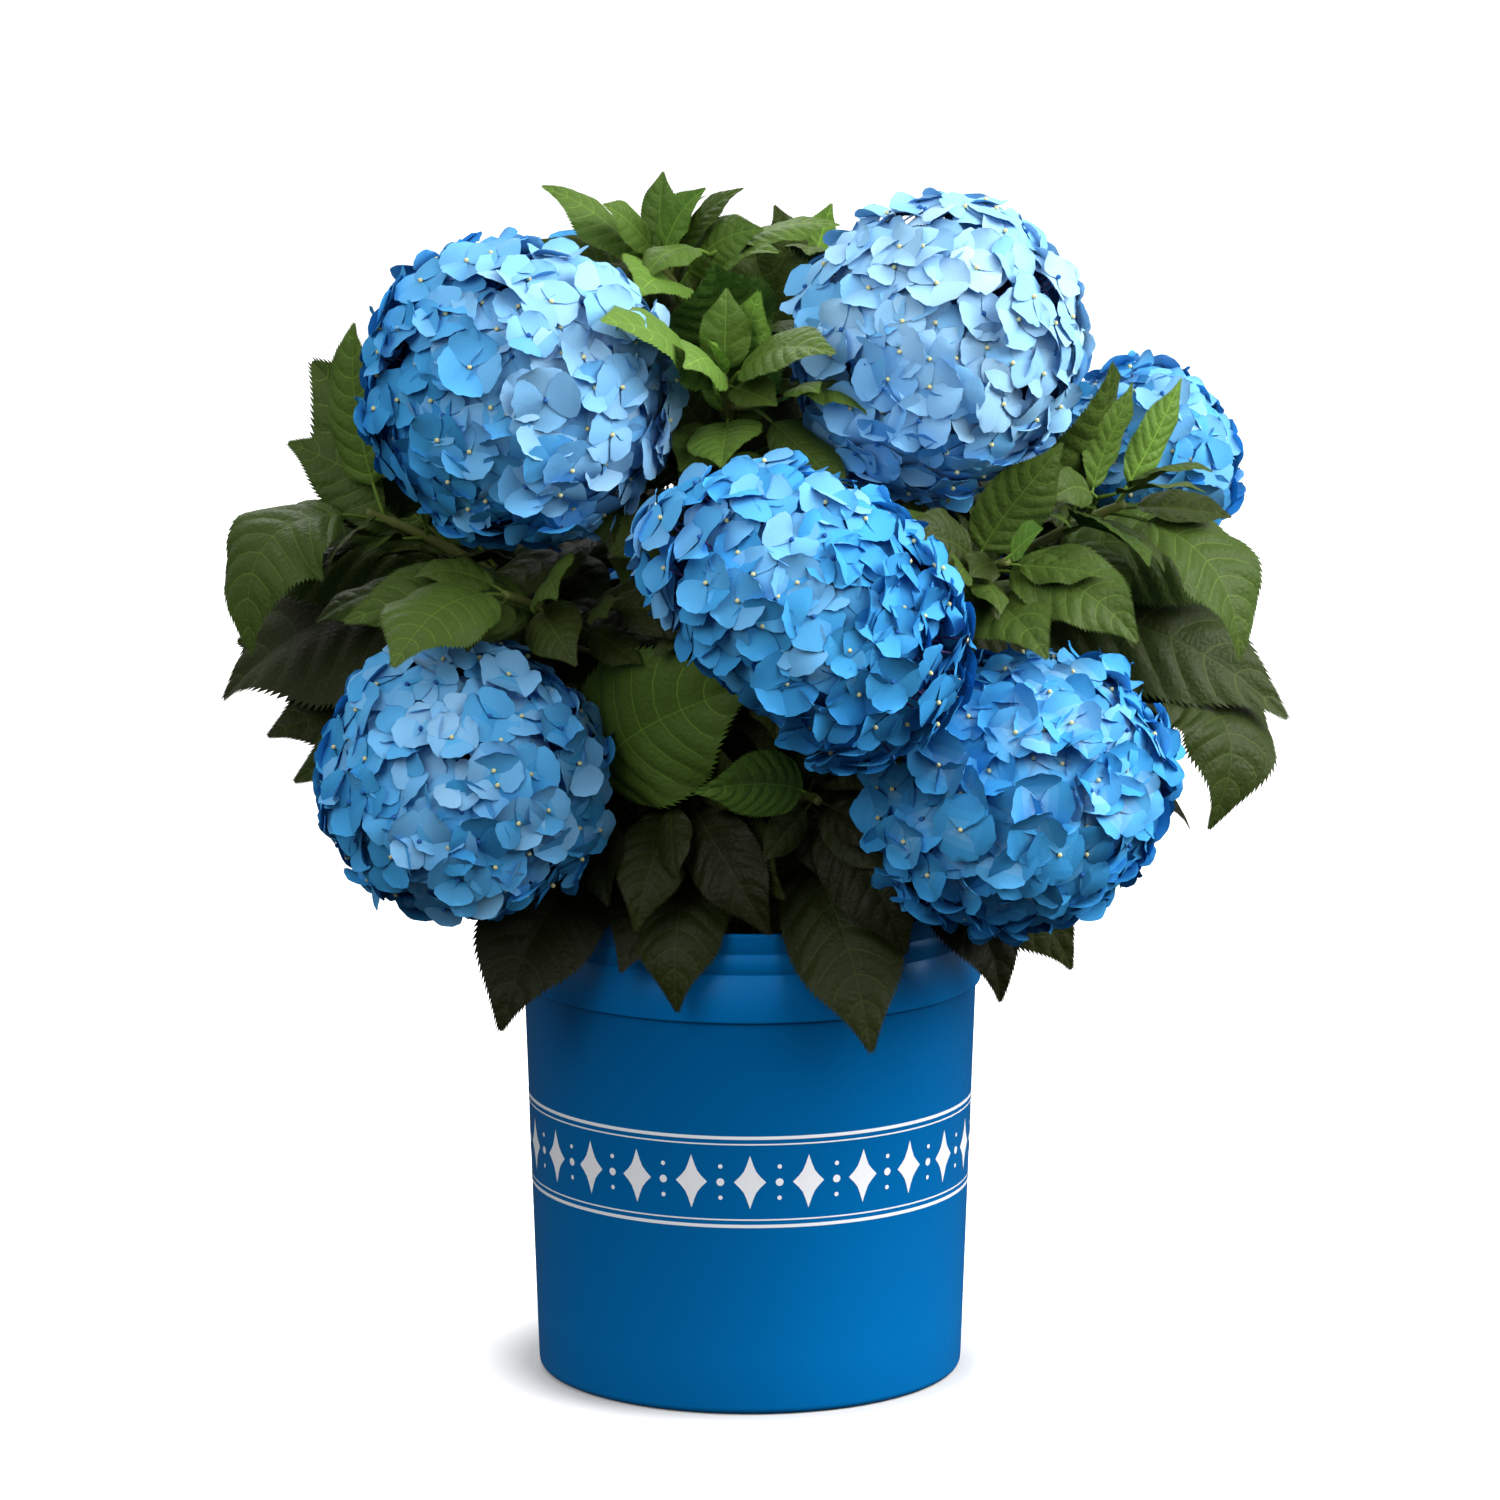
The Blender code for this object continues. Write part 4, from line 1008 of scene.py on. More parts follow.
def grow_head(name):
    path, look, head = paths[name], BLOOMS[name], HEADS[name]
    piece = Piece("petals_" + name)
    chance = random.Random("florets " + name)
    mean = (head.across + head.tall + head.deep) / 3
    size = FLORET_REACH * min(1.0, (mean / FULL_SIZE_HEAD) ** 0.5)
    count = round(FLORET_SHARE * 4 * math.pi * mean**2 * COVERED / (FLORET_AREA * size**2))
    for layer, number, painted_shade in ((OUTER_LAYER, count, 0), (INNER_LAYER, count // 3, INNER_PAINTED_SHADE)):
        for direction in spread_directions(number, path.tangent(path.length)):
            drift = Vector([chance.uniform(-FLORET_DRIFT, FLORET_DRIFT) for _ in range(3)])
            direction = (direction + drift).normalized()
            depth = chance.uniform(*layer)
            place = path.tip + direction * floret_radius(name, direction) * depth
            lean = Vector([chance.uniform(-1, 1) for _ in range(3)]) * FLORET_LEAN
            way = (direction + lean).normalized()
            # painted light: florets on the side of the head that faces the lights get paler shades
            paler = direction.dot(Vector(look.paler_to)) * look.paler_by
            # painted shade: florets of the inner layer are made darker
            shade = round(look.shade + paler - painted_shade + chance.uniform(-SHADE_CHANGE, SHADE_CHANGE))
            shade = min(max(shade, 0), SHADES - 1)
            own_size = size * chance.uniform(*FLORET_SIZES)
            sheet = PLAIN_SEPAL if painted_shade else FINE_SEPAL
            add_floret(piece, sheet, place, way, own_size, shade, look, chance)
            if not painted_shade:
                inner = path.tip + direction * head_radius(name, direction) * STALK_ROOT
                line = [inner, inner.lerp(place, STALK_BEND) - STALK_SAG, place - way * STALK_END]
                piece.add(*tube(line, STALK_RADII, STALK_SIDES), STALK_FINISH)
    piece.build(petal_finishes, "petal", "bloom_" + name)
    return count


floret_counts = {name: grow_head(name) for name in HEADS}
print("florets:", floret_counts)

# %% [markdown]
# ## Where the leaves stand
# A leaf has a stalk and a midrib on one bent line, from its stem through a high point to its tip. Before
# a leaf is kept, a thin three-sided solid of it is tested against everything that stands already, so that
# leaves lie over one another and seldom cut through, as they do when they grow. Only near its root may a
# leaf touch its own shoot. A leaf that finds no room is tried in other attitudes, and is left out when none
# of them fits. Search trees make that test quick.

# %% The line of a leaf
PETIOLE_SHARE, PETIOLE_RADIUS = 0.17, 0.0014
LEAF_THICKNESS = 0.0017  # of the solid that keeps its room
LEAF_WIDTH_SHARE = 0.32  # half the width over the whole length
LEAF_ROOM = 0.84  # share of that width that a finer leaf takes up
LEAF_STATIONS = ((0.38, 0.98), (0.66, 0.76))  # how far along, and what share of the half width
LEAF_ARCH = 0.16
LEAF_BEND, LEAF_REST = 0.55, 0.5  # over the length: up to the high point, and on to the tip
HANGING_OUT = 0.6  # a hanging leaf goes this far outwards for each step down
LEAF_STEP, TIP_START = 0.02, 0.97
OUTWARD_FACING, UPWARD_FACING, FRONT_FACING = 0.7, 0.45, 0.45  # which ways a leaf's upper side turns
OVER_A_HEAD = 0.75  # how squarely a leaf lies over a head before it faces off it
NEARLY_UPRIGHT = 0.1


def facing_at(place, front):
    """The way a leaf's upper side turns there: out of the dome and up, and off a head that it lies on."""
    outwards = (place - DOME_CENTRE).normalized()
    facing = outwards * OUTWARD_FACING + Vector((0, -front, UPWARD_FACING))
    if front:
        nearest = min((tip_of(name) for name in HEADS), key=lambda centre: (place - centre).length)
        away = (place - nearest).normalized()
        if away.dot(outwards) > OVER_A_HEAD:
            facing += away
    return facing


class Leaf:
    """A quadratic Bezier from the stem through a high point to the tip, with a width and a facing."""

    def __init__(self, root, high, tip, width_share=LEAF_WIDTH_SHARE, roll=0.0, front=0.0):
        self.root, self.high, self.tip = root, high, tip
        self.length = (high - root).length * 0.5 + (tip - high).length * 0.5 + (tip - root).length * 0.5
        self.half_width = self.length * width_share * LEAF_ROOM
        self.across = (tip - root).cross(facing_at((root + tip) / 2, front)).normalized()
        self.roll = roll
        self.young = 0.0
        self.tone = None

    def point(self, t):
        u = 1 - t
        return u * u * self.root + 2 * u * t * self.high + t * t * self.tip

    def frame(self, t):
        """(across, up) of the blade there."""
        along = (self.point(min(t + LEAF_STEP, 1)) - self.point(max(t - LEAF_STEP, 0))).normalized()
        across = (self.across - along * self.across.dot(along)).normalized()
        up = across.cross(along)
        turned_across = across * math.cos(self.roll) + up * math.sin(self.roll)
        return turned_across, turned_across.cross(along)

    def solid(self, margin=0.0, from_share=0.0):
        """(points, triangles) of a closed three-sided loft that keeps the leaf's room."""
        rings = []
        for t, half in ((from_share, PETIOLE_RADIUS), (PETIOLE_SHARE, PETIOLE_RADIUS)):
            place, (across, up) = self.point(t), self.frame(t)
            grown = half + margin
            rings.append([place + across * grown, place - across * grown, place - up * grown])
        for t, share in LEAF_STATIONS:
            place, (across, up) = self.point(t), self.frame(t)
            grown = self.half_width * share + margin
            under, top = place - up * (LEAF_THICKNESS + margin), place + up * margin
            rings.append([top + across * grown, top - across * grown, under])
        tip = self.point(1) + (self.point(1) - self.point(TIP_START)).normalized() * margin
        points = [corner for ring in rings for corner in ring] + [tip]
        triangles = [(2, 1, 0)]
        for ring in range(len(rings) - 1):
            for side in range(3):
                a, b = ring * 3 + side, ring * 3 + (side + 1) % 3
                triangles += [(a, b, b + 3), (a, b + 3, a + 3)]
        last = (len(rings) - 1) * 3
        triangles += [(last + side, last + (side + 1) % 3, len(points) - 1) for side in range(3)]
        return points, triangles


def leaf_on(path, distance, around, length, spread, droop, sway):
    """A leaf at that distance along a stem, that many degrees round it, drooping by that share."""
    root, along = path.at(distance), path.tangent(distance)
    side = along.cross(Vector((0, 0, 1)))
    if side.length < NEARLY_UPRIGHT:
        side = Vector((1, 0, 0))
    side.normalize()
    lift = side.cross(along)
    turn, opening = math.radians(around), math.radians(spread)
    outwards = side * math.cos(turn) + lift * math.sin(turn)
    start = along * math.cos(opening) + outwards * math.sin(opening)
    high = root + start * length * LEAF_BEND
    level = Vector((start.x, start.y, 0)).normalized()
    hanging = level * HANGING_OUT - Vector((0, 0, 1))
    late = (start * (1 - droop) + hanging * droop).normalized()
    return Leaf(root, high, high + late * length * LEAF_REST, LEAF_WIDTH_SHARE, math.radians(sway))


def marked_leaf(path, distance, tip, width_share, arch, front):
    """A leaf from that distance along the stem to the tip, arched outwards and up."""
    root = path.at(distance)
    chord = tip - root
    outwards = (root.lerp(tip, 0.5) - DOME_CENTRE).normalized()
    rise = (outwards + Vector((0, 0, 1))).normalized()
    rise -= chord.normalized() * rise.dot(chord.normalized())
    high = root.lerp(tip, 0.5) + rise * 2 * arch * chord.length
    return Leaf(root, high, tip, width_share, front=front)


# %% The room that is taken
STEM_STEP, STEM_SIDES = 0.03, 4  # of the tubes that keep the stems' room


def bounds_of(points):
    low = Vector([min(point[i] for point in points) for i in range(3)])
    high = Vector([max(point[i] for point in points) for i in range(3)])
    return low, high


class Space:
    """What stands already, as search trees with their owners."""

    def __init__(self):
        self.trees = []

    def add(self, owner, points, faces):
        self.trees.append((owner, *bounds_of(points), BVHTree.FromPolygons(points, faces)))

    def touches(self, points, faces, wanted):
        low, high = bounds_of(points)
        tree = None
        for owner, other_low, other_high, other in self.trees:
            if not wanted(owner):
                continue
            if any(low[i] > other_high[i] or high[i] < other_low[i] for i in range(3)):
                continue
            tree = tree or BVHTree.FromPolygons(points, faces)
            if tree.overlap(other):
                return True
        return False

    def takes(self, name, leaf, gap, root_share):
        """Whether the leaf has room, its root set aside on its own shoot. A leaf with room is added."""
        stalks = name + " stalks"
        if self.touches(*leaf.solid(gap), lambda owner: owner not in (name, stalks)):
            return False
        if self.touches(*leaf.solid(gap, root_share), lambda owner: owner == name):
            return False
        self.add(name, *leaf.solid(0.0, root_share))
        self.add(stalks, *leaf.solid())
        return True


space = Space()
for node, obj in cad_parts.items():
    if node.startswith("foliage_"):
        continue
    owner = {"cane": "canes", "bloom": "heads"}.get(node.split("_")[0], "ground")
    corners = [vertex.co.copy() for vertex in obj.data.vertices]
    space.add(owner, corners, [tuple(face.vertices) for face in obj.data.polygons])
for name, path in paths.items():
    line, radii = path.stretch(*spans[name], STEM_STEP)
    points, triangles = tube(line, radii, STEM_SIDES)
    space.add(name, [Vector(point) for point in points], triangles.tolist())
print(len(space.trees), "things stand before the first leaf")

# %% [markdown]
# ## Growing the leaves
# The showy leaves go first, each to the place where its tip is wanted. One that finds no room there is
# arched more or less, rooted elsewhere on its stem, moved along the line of sight or narrowed, whichever
# changes it least. The small upright leaves of the top follow, then the pairs along each shoot, smaller
# at the tip than below. After them come the young leaves that crown the upper shoots without a flower,
# finer side twigs with small leaves, inner leaves that fill what is open, and a few that close the last
# gaps. The order matters: what goes first gets the room.

# %% The places of the showy leaves
# Leaves with a place of their own: how far along the leafy stretch they stand, their tip, their width, and
# for some their arch and their tone, which paints light on some and shade on others.
MARKED_LEAVES = {
    "crown_top": (
        (1.00, (-0.046, -0.020, 0.651), 0.30),
        (0.97, (-0.106, -0.030, 0.648), 0.28, 0.02),
        (0.80, (-0.115, -0.020, 0.616), 0.30, 0.06, 3),
        (0.95, (-0.004, -0.030, 0.644), 0.24),
        (0.80, (0.012, -0.060, 0.618), 0.28),
        (0.45, (0.022, -0.110, 0.585), 0.32),
    ),
    "middle": (
        (0.80, (-0.074, -0.200, 0.592), 0.28, 0.16, 5),
        (0.95, (0.043, -0.184, 0.574), 0.28),
        (0.05, (-0.070, -0.165, 0.469), 0.30),
    ),
    "left_front": (
        (0.55, (-0.208, -0.152, 0.432), 0.26),
        (0.80, (-0.089, -0.172, 0.412), 0.34),
        (0.98, (-0.180, -0.215, 0.418), 0.36, 0.16, 3),
    ),
    "left": (
        (0.90, (-0.267, -0.060, 0.399), 0.38, 0.36),
        (0.70, (-0.248, 0.000, 0.506), 0.30),
        (0.55, (-0.238, 0.010, 0.547), 0.40),
        (0.60, (-0.286, 0.035, 0.430), 0.30),
        (0.30, (-0.288, 0.030, 0.361), 0.40, 0.20, 1),
        (0.95, (-0.213, 0.010, 0.568), 0.36, 0.10),
        (0.20, (-0.141, 0.020, 0.459), 0.36, 0.12, 1),
    ),
    "left_low": (
        (0.75, (-0.282, 0.045, 0.390), 0.34),
        (0.55, (-0.257, -0.040, 0.353), 0.34),
        (0.45, (-0.242, -0.050, 0.330), 0.28),
    ),
    "lower_left": (
        (0.92, (0.001, -0.190, 0.404), 0.38, 0.16, 4),
        (0.15, (-0.133, -0.130, 0.214), 0.33),
    ),
    "front_low_left": (
        (0.60, (-0.059, -0.150, 0.269), 0.28),
        (0.70, (0.010, -0.160, 0.268), 0.26),
        (0.20, (-0.041, -0.147, 0.226), 0.30),
    ),
    "front_low_right": (
        (0.95, (-0.028, -0.205, 0.352), 0.23, 0.16, 5),
        (0.65, (0.082, -0.152, 0.256), 0.29),
        (0.25, (0.063, -0.157, 0.206), 0.29),
    ),
    "centre": (
        (0.10, (0.058, -0.060, 0.305), 0.40, 0.16, 0),
    ),
    "lower_right": (
        (0.25, (0.137, -0.120, 0.225), 0.28),
        (0.40, (0.175, -0.070, 0.231), 0.28),
    ),
    "right_front": (
        (0.85, (0.078, -0.172, 0.478), 0.34),
        (0.85, (0.200, -0.162, 0.424), 0.32),
        (0.60, (0.150, -0.195, 0.424), 0.32),
        (1.00, (0.149, -0.170, 0.482), 0.30, 0.10, 6),
        (0.05, (0.046, -0.030, 0.318), 0.40, 0.16, 0),
    ),
    "right": (
        (0.95, (0.260, -0.080, 0.400), 0.34, 0.20),
        (0.60, (0.274, -0.020, 0.428), 0.30),
        (0.30, (0.288, -0.025, 0.359), 0.26),
        (0.98, (0.228, -0.035, 0.543), 0.19, 0.16, 5),
        (0.80, (0.188, -0.085, 0.557), 0.38),
    ),
    "right_low": (
        (1.00, (0.250, -0.060, 0.304), 0.36, 0.40),
    ),
}

TOP_FACING = 1.3  # the small leaves of the top stand up, and turn to the front
# the last number of a row is its tone: painted light on the leaves in front, painted shade on those behind
TOP_LEAVES = {
    "crown_top": (
        (1.00, (-0.076, -0.055, 0.637), 0.27, 0.10, 4),
        (1.00, (-0.027, -0.050, 0.644), 0.26, 0.10, 5),
        (0.80, (-0.057, -0.100, 0.596), 0.34, 0.16, 5),
        (0.75, (-0.017, -0.100, 0.606), 0.34, 0.16, 5),
        (0.60, (0.005, -0.050, 0.624), 0.32, 0.12, 4),
        (0.50, (-0.085, -0.090, 0.590), 0.36, 0.16, 2),
        (0.65, (-0.046, 0.010, 0.618), 0.38, 0.12, 3),
    ),
    "middle": (
        (0.45, (0.004, -0.160, 0.571), 0.27, 0.10, 3),
        (0.97, (0.003, -0.160, 0.600), 0.34, 0.10, 6),
        (1.00, (-0.028, -0.190, 0.571), 0.34, 0.10, 5),
        (0.85, (-0.012, -0.130, 0.600), 0.36, 0.12, 4),
        (0.40, (-0.052, -0.120, 0.560), 0.36, 0.16, 2),
        (0.20, (0.019, -0.020, 0.555), 0.36, 0.12, 1),
    ),
    "back_top": (
        (0.95, (0.033, 0.030, 0.612), 0.34, 0.10, 3),
        (0.80, (0.000, 0.035, 0.602), 0.36, 0.12, 2),
        (0.60, (-0.030, 0.050, 0.592), 0.36, 0.16, 2),
        (0.30, (-0.028, 0.030, 0.522), 0.40, 0.20, 1),
        (0.55, (0.000, 0.050, 0.614), 0.38, 0.12, 2),
        (0.60, (-0.015, 0.050, 0.556), 0.36, 0.12, 1),
        (0.30, (0.017, 0.030, 0.554), 0.38, 0.12, 1),
    ),
}

CLOSING_LEAVES = {  # small shaded ones that go last, where the sky would show through the shrub
    "back_top": ((0.95, (0.015, 0.087, 0.622), 0.30, 0.06, 2),),
    "crown_top": ((0.85, (-0.069, 0.006, 0.616), 0.30, 0.18, 2),),
    "middle": ((0.85, (-0.005, -0.088, 0.560), 0.30, 0.18, 1),),
    "far_right": ((0.95, (0.188, 0.017, 0.466), 0.36, 0.06, 1),),
    "left": ((0.55, (-0.158, 0.001, 0.459), 0.36, 0.06, 1),),
}

showy_tables = (MARKED_LEAVES, TOP_LEAVES, CLOSING_LEAVES)
print("showy leaves wanted:", [sum(len(rows) for rows in table.values()) for table in showy_tables])

# %% The pairs of a shoot
LEAF_TRIES = 12
LEAF_GAP = 0.0007
ROOT_SHARE, SHOWY_ROOT_SHARE, TOP_ROOT_SHARE = 0.10, 0.25, 0.40  # what may touch its own shoot
SHOWY_START, SHOWY_ENDS = 0.005, 0.008  # what stays free of showy leaves: below them, and in all
PAIR_GAP, FOOT_GAP = 0.006, 0.010
PAIR_TURN, PAIR_SIZES = 12, (0.92, 1.06)  # degrees either way, over the pair's own length
AROUND_CHANGE, SPREAD_CHANGE, SHORTENING = 8, 5, 0.035  # with every try: degrees, degrees, share
DROOP_CHANGE, MOST_SWAY = 0.25, 16
WIDEST_SPREAD = 80
# How the pairs of a shoot change from the top one down: how they crowd at the top and how soon they are
# full grown, then the length, spread and droop of the top one, each with what the lowest one has more.
Habit = namedtuple("Habit", "crowding growth length longer spread wider droop lower")
BELOW_A_HEAD = Habit(1.15, 1, 0.92, 0.10, 62, 8, 0.7, 0)
BELOW_A_TIP = Habit(1.5, 1.5, 0.56, 0.50, 34, 34, 0.3, 0.4)


def inside_box(leaf):
    return math.hypot(leaf.tip.x, leaf.tip.y) < DOME_HALF_WIDTH and LOWEST_LEAF < leaf.tip.z < DOME_TOP


def inside_dome(leaf):
    """Whether the leaf ends inside the rounded crown."""
    tip = leaf.tip - DOME_CENTRE
    half_height = DOME_HALF_HEIGHTS[0] if tip.z > 0 else DOME_HALF_HEIGHTS[1]
    return math.hypot(math.hypot(tip.x, tip.y) / DOME_HALF_WIDTH, tip.z / half_height) < 1


def leaf_pairs(name, start, end):
    """(distance, degrees round, length, spread, droop) of each leaf on a shoot, from the tip down."""
    shoot = SHOOTS[name]
    habit = BELOW_A_HEAD if name in HEADS else BELOW_A_TIP
    chance = random.Random(name)
    leaves = []
    for pair in range(shoot.pairs):
        share = pair / max(shoot.pairs - 1, 1)
        distance = end - PAIR_GAP - (end - start - PAIR_GAP - FOOT_GAP) * share**habit.crowding
        length = shoot.leaf_length * (habit.length + habit.longer * min(1, share * habit.growth))
        spread = habit.spread + habit.wider * share
        droop = habit.droop + habit.lower * share
        for half in (0, 180):
            around = shoot.turn + 90 * pair + half + chance.uniform(-PAIR_TURN, PAIR_TURN)
            leaves.append((distance, around, length * chance.uniform(*PAIR_SIZES), spread, droop))
    return leaves


planned = []
for name in paths:
    for order, row in enumerate(leaf_pairs(name, *spans[name])):
        planned.append((order, name, row))
print("leaves planned in pairs:", len(planned))

# %% Showy leaves and pairs
grown = {name: [] for name in SHOOTS}
Showy = namedtuple("Showy", "share tip width arch tone", defaults=(LEAF_ARCH, None))
# What a showy leaf may change to find room, its tip staying in sight where it is: how much each change
# is, and what it costs for each unit. The least costly change is tried first.
ARCHES = (0, 0.03, -0.03, 0.06, -0.06, 0.10, 0.15, 0.20, 0.25)
SHARES = (0, 0.06, -0.06, 0.12, -0.12, 0.20, -0.20, 0.30, -0.30, 0.45)
DEPTHS = (0, -0.01, 0.01, -0.02, 0.02, -0.03, 0.03, 0.045, -0.045)
NARROWINGS = (0, 0.08, 0.15)
CHANGE_COSTS = (8, 2.2, 30, 5)
MOST_WAYS = 900
FLATTEST_ARCH, FULLEST_ARCH = 0.02, 0.42


def ways_to_reach(wanted):
    """The leaf as it is wanted, then with ever greater changes."""
    ways = []
    for change in itertools.product(ARCHES, SHARES, DEPTHS, NARROWINGS):
        arch, share = wanted.arch + change[0], wanted.share + change[1]
        if FLATTEST_ARCH <= arch <= FULLEST_ARCH and 0 <= share <= 1:
            cost = sum(weight * abs(step) for weight, step in zip(CHANGE_COSTS, change))
            ways.append((cost, arch, share, change[2], wanted.width * (1 - change[3])))
    return sorted(ways)[:MOST_WAYS]


def grow_showy(table, front, gap, root_share):
    """Grows the leaves of a table, each in the first way that has room."""
    for name, marked in table.items():
        start, end = spans[name]
        for row in marked:
            wanted = Showy(*row)
            tip = Vector(wanted.tip)
            sight = (tip - CAMERA_PLACE).normalized()
            for cost, arch, share, deeper, width in ways_to_reach(wanted):
                distance = start + SHOWY_START + (end - start - SHOWY_ENDS) * share
                leaf = marked_leaf(paths[name], distance, tip + sight * deeper, width, arch, front)
                leaf.tone = wanted.tone
                if inside_box(leaf) and space.takes(name, leaf, gap, root_share):
                    grown[name].append(leaf)
                    break
            else:
                print("no room for the showy leaf", name, wanted.share, wanted.tip)


grow_showy(MARKED_LEAVES, FRONT_FACING, LEAF_GAP, SHOWY_ROOT_SHARE)
grow_showy(TOP_LEAVES, TOP_FACING, 0.0, TOP_ROOT_SHARE)
showy = sum(len(leaves) for leaves in grown.values())


def grow_from(name, path, label, row, keep=inside_dome, gap=LEAF_GAP):
    """Tries one leaf in several attitudes, and returns it if one of them has room."""
    distance, around, length, spread, droop = row
    chance = random.Random(label)
    for attempt in range(LEAF_TRIES):
        turned = around + chance.uniform(-AROUND_CHANGE, AROUND_CHANGE) * attempt
        shorter = length * (1 - SHORTENING * attempt)
        opened = min(spread + chance.uniform(-SPREAD_CHANGE, SPREAD_CHANGE) * attempt, WIDEST_SPREAD)
        drooped = droop + chance.uniform(-DROOP_CHANGE, DROOP_CHANGE)
        sway = chance.uniform(-MOST_SWAY, MOST_SWAY)
        leaf = leaf_on(path, distance, turned, shorter, opened, drooped, sway)
        if keep(leaf) and space.takes(name, leaf, gap, ROOT_SHARE):
            grown[name].append(leaf)
            return leaf
    return None


for order, name, row in sorted(planned, key=lambda entry: (entry[0], entry[1])):
    grow_from(name, paths[name], f"{name} {order}", row)
paired = sum(len(leaves) for leaves in grown.values()) - showy
print(showy, "showy leaves and", paired, "in pairs")

# %% Young leaves
YOUNG_RISE = 20  # the least rise of shoots with a young crown
YOUNG_LENGTHS, YOUNG_STEP = (0.052, 0.040, 0.026), 0.002
YOUNG_SPREAD, YOUNG_CLOSING, YOUNG_DROOP = 38, 9, 0.15  # degrees, degrees less for each pair, share
YOUTH, MORE_YOUTH = 0.6, 0.2  # of the lowest pair, and for each further one


def crown_of_young(name):
    """Crossed pairs of small upright leaves at the tip of a shoot."""
    path = paths[name]
    for pair, length in enumerate(YOUNG_LENGTHS):
        distance = path.length - YOUNG_STEP * (len(YOUNG_LENGTHS) - pair)
        spread = YOUNG_SPREAD - YOUNG_CLOSING * pair
        for half in (0, 180):
            around = SHOOTS[name].turn + 90 * pair + 45 + half
            row = (distance, around, length, spread, YOUNG_DROOP)
            leaf = grow_from(name, path, f"{name} young {pair} {half}", row, inside_box, 0.0)
            if leaf:
                leaf.young = YOUTH + MORE_YOUTH * pair


for name in SHOOTS:
    if name not in HEADS and SHOOTS[name].rise > YOUNG_RISE:
        crown_of_young(name)
print("leaves with the young ones:", sum(len(leaves) for leaves in grown.values()))

# %% Side twigs
SHADED_RISE = -30  # the least rise of shoots with side twigs
TWIG_PLACES, TWIG_LENGTHS = (0.12, 0.38, 0.62, 0.85), (0.026, 0.046)
TWIG_ALONG, TWIG_BEND, TWIG_LIFT = 0.55, 0.4, 0.2  # how a twig leans along its stem, bends and lifts
TWIG_RADII = (0.0017, 0.0012)
TWIG_LEAVES = ((0.98, 0.062), (0.45, 0.074))  # how far along the twig a pair stands, and how long it is
TWIG_LEAF_SIZES, TWIG_LEAF_DROOPS = (0.85, 1.15), (0.2, 0.6)
TWIG_SPREAD, TWIG_OPENING, TWIG_TURN = 48, 14, 20  # degrees, degrees more for each pair, degrees either way
side_twigs = []


def side_twig(name, share, around, length):
    """A fine twig out of a leaf axil, curving up."""
    path = paths[name]
    start, end = spans[name]
    distance = start + (end - start) * share
    root, along = path.at(distance), path.tangent(distance)
    side = along.orthogonal().normalized()
    turn = math.radians(around)
    outwards = side * math.cos(turn) + along.cross(side) * math.sin(turn)
    way = (along * TWIG_ALONG + outwards).normalized()
    tip = root + way * length + Vector((0, 0, TWIG_LIFT * length))
    bend = root + way * length * TWIG_BEND
    return Path((root, bend, bend.lerp(tip, 0.5), tip), *TWIG_RADII)


for name in SHOOTS:
    if SHOOTS[name].rise < SHADED_RISE:
        continue
    chance = random.Random("twigs " + name)
    for order, share in enumerate(TWIG_PLACES):
        around = chance.uniform(0, 360)
        twig = side_twig(name, share, around, chance.uniform(*TWIG_LENGTHS))
        if in_a_head(twig.tip, HEAD_ROOM) or in_a_head(twig.at(twig.length / 2), HEAD_ROOM):
            continue
        before = len(grown[name])
        for pair, (at_share, leaf_length) in enumerate(TWIG_LEAVES):
            spread = TWIG_SPREAD + TWIG_OPENING * pair
            for half in (0, 180):
                turn = 90 * pair + half + chance.uniform(-TWIG_TURN, TWIG_TURN)
                size = leaf_length * chance.uniform(*TWIG_LEAF_SIZES)
                row = (twig.length * at_share, turn, size, spread, chance.uniform(*TWIG_LEAF_DROOPS))
                grow_from(name, twig, f"{name} twig {order} {pair} {half}", row, inside_dome, 0.0)
        if len(grown[name]) > before:
            side_twigs.append(twig)
print("side twigs:", len(side_twigs))

# %% Inner leaves
FILLING_TRIES = {  # how many inner leaves a shoot tries to fit in, where it's more than usual
    "crown_top": 70, "middle": 60, "back_top": 50, "left": 40, "left_low": 40, "right": 30,
}
USUAL_FILLING = 16
FILLING_WIDTH, FILLING_ARCH = 0.36, 0.12
FILLING_PLACES, FILLING_REACHES = (0.0, 0.9), (0.045, 0.080)  # share of the leafy stretch, metres
FILLING_OUTWARDS = 0.6

for name, path in paths.items():
    start, end = spans[name]
    front = TOP_FACING if name in FILLING_TRIES else FRONT_FACING
    for order in range(FILLING_TRIES.get(name, USUAL_FILLING)):
        chance = random.Random(f"{name} filling {order}")
        distance = start + (end - start) * chance.uniform(*FILLING_PLACES)
        root = path.at(distance)
        way = (root - DOME_CENTRE).normalized() * FILLING_OUTWARDS
        way += Vector([chance.uniform(-1, 1) for _ in range(3)])
        tip = root + way.normalized() * chance.uniform(*FILLING_REACHES)
        leaf = marked_leaf(path, distance, tip, FILLING_WIDTH, FILLING_ARCH, front)
        if inside_dome(leaf) and not in_a_head(tip, 1.0) and space.takes(name, leaf, 0.0, ROOT_SHARE):
            grown[name].append(leaf)
grow_showy(CLOSING_LEAVES, TOP_FACING, 0.0, TOP_ROOT_SHARE)
print(sum(len(leaves) for leaves in grown.values()), "leaves in all")

# %% [markdown]
# ## The blade of a leaf
# The blade is a grid that follows the veins: its rows leave the midrib and sweep forward to the edge.
# Some rows lie close together and make a pale vein, and the rows between them rise, so that the blade is
# quilted. The edge gets a tooth in every cell. Bending that grid along the leaf's line, with a shallow
# fold at the midrib, an arch across each half and a hook at the tip, gives every leaf its own shape from
# one pattern.

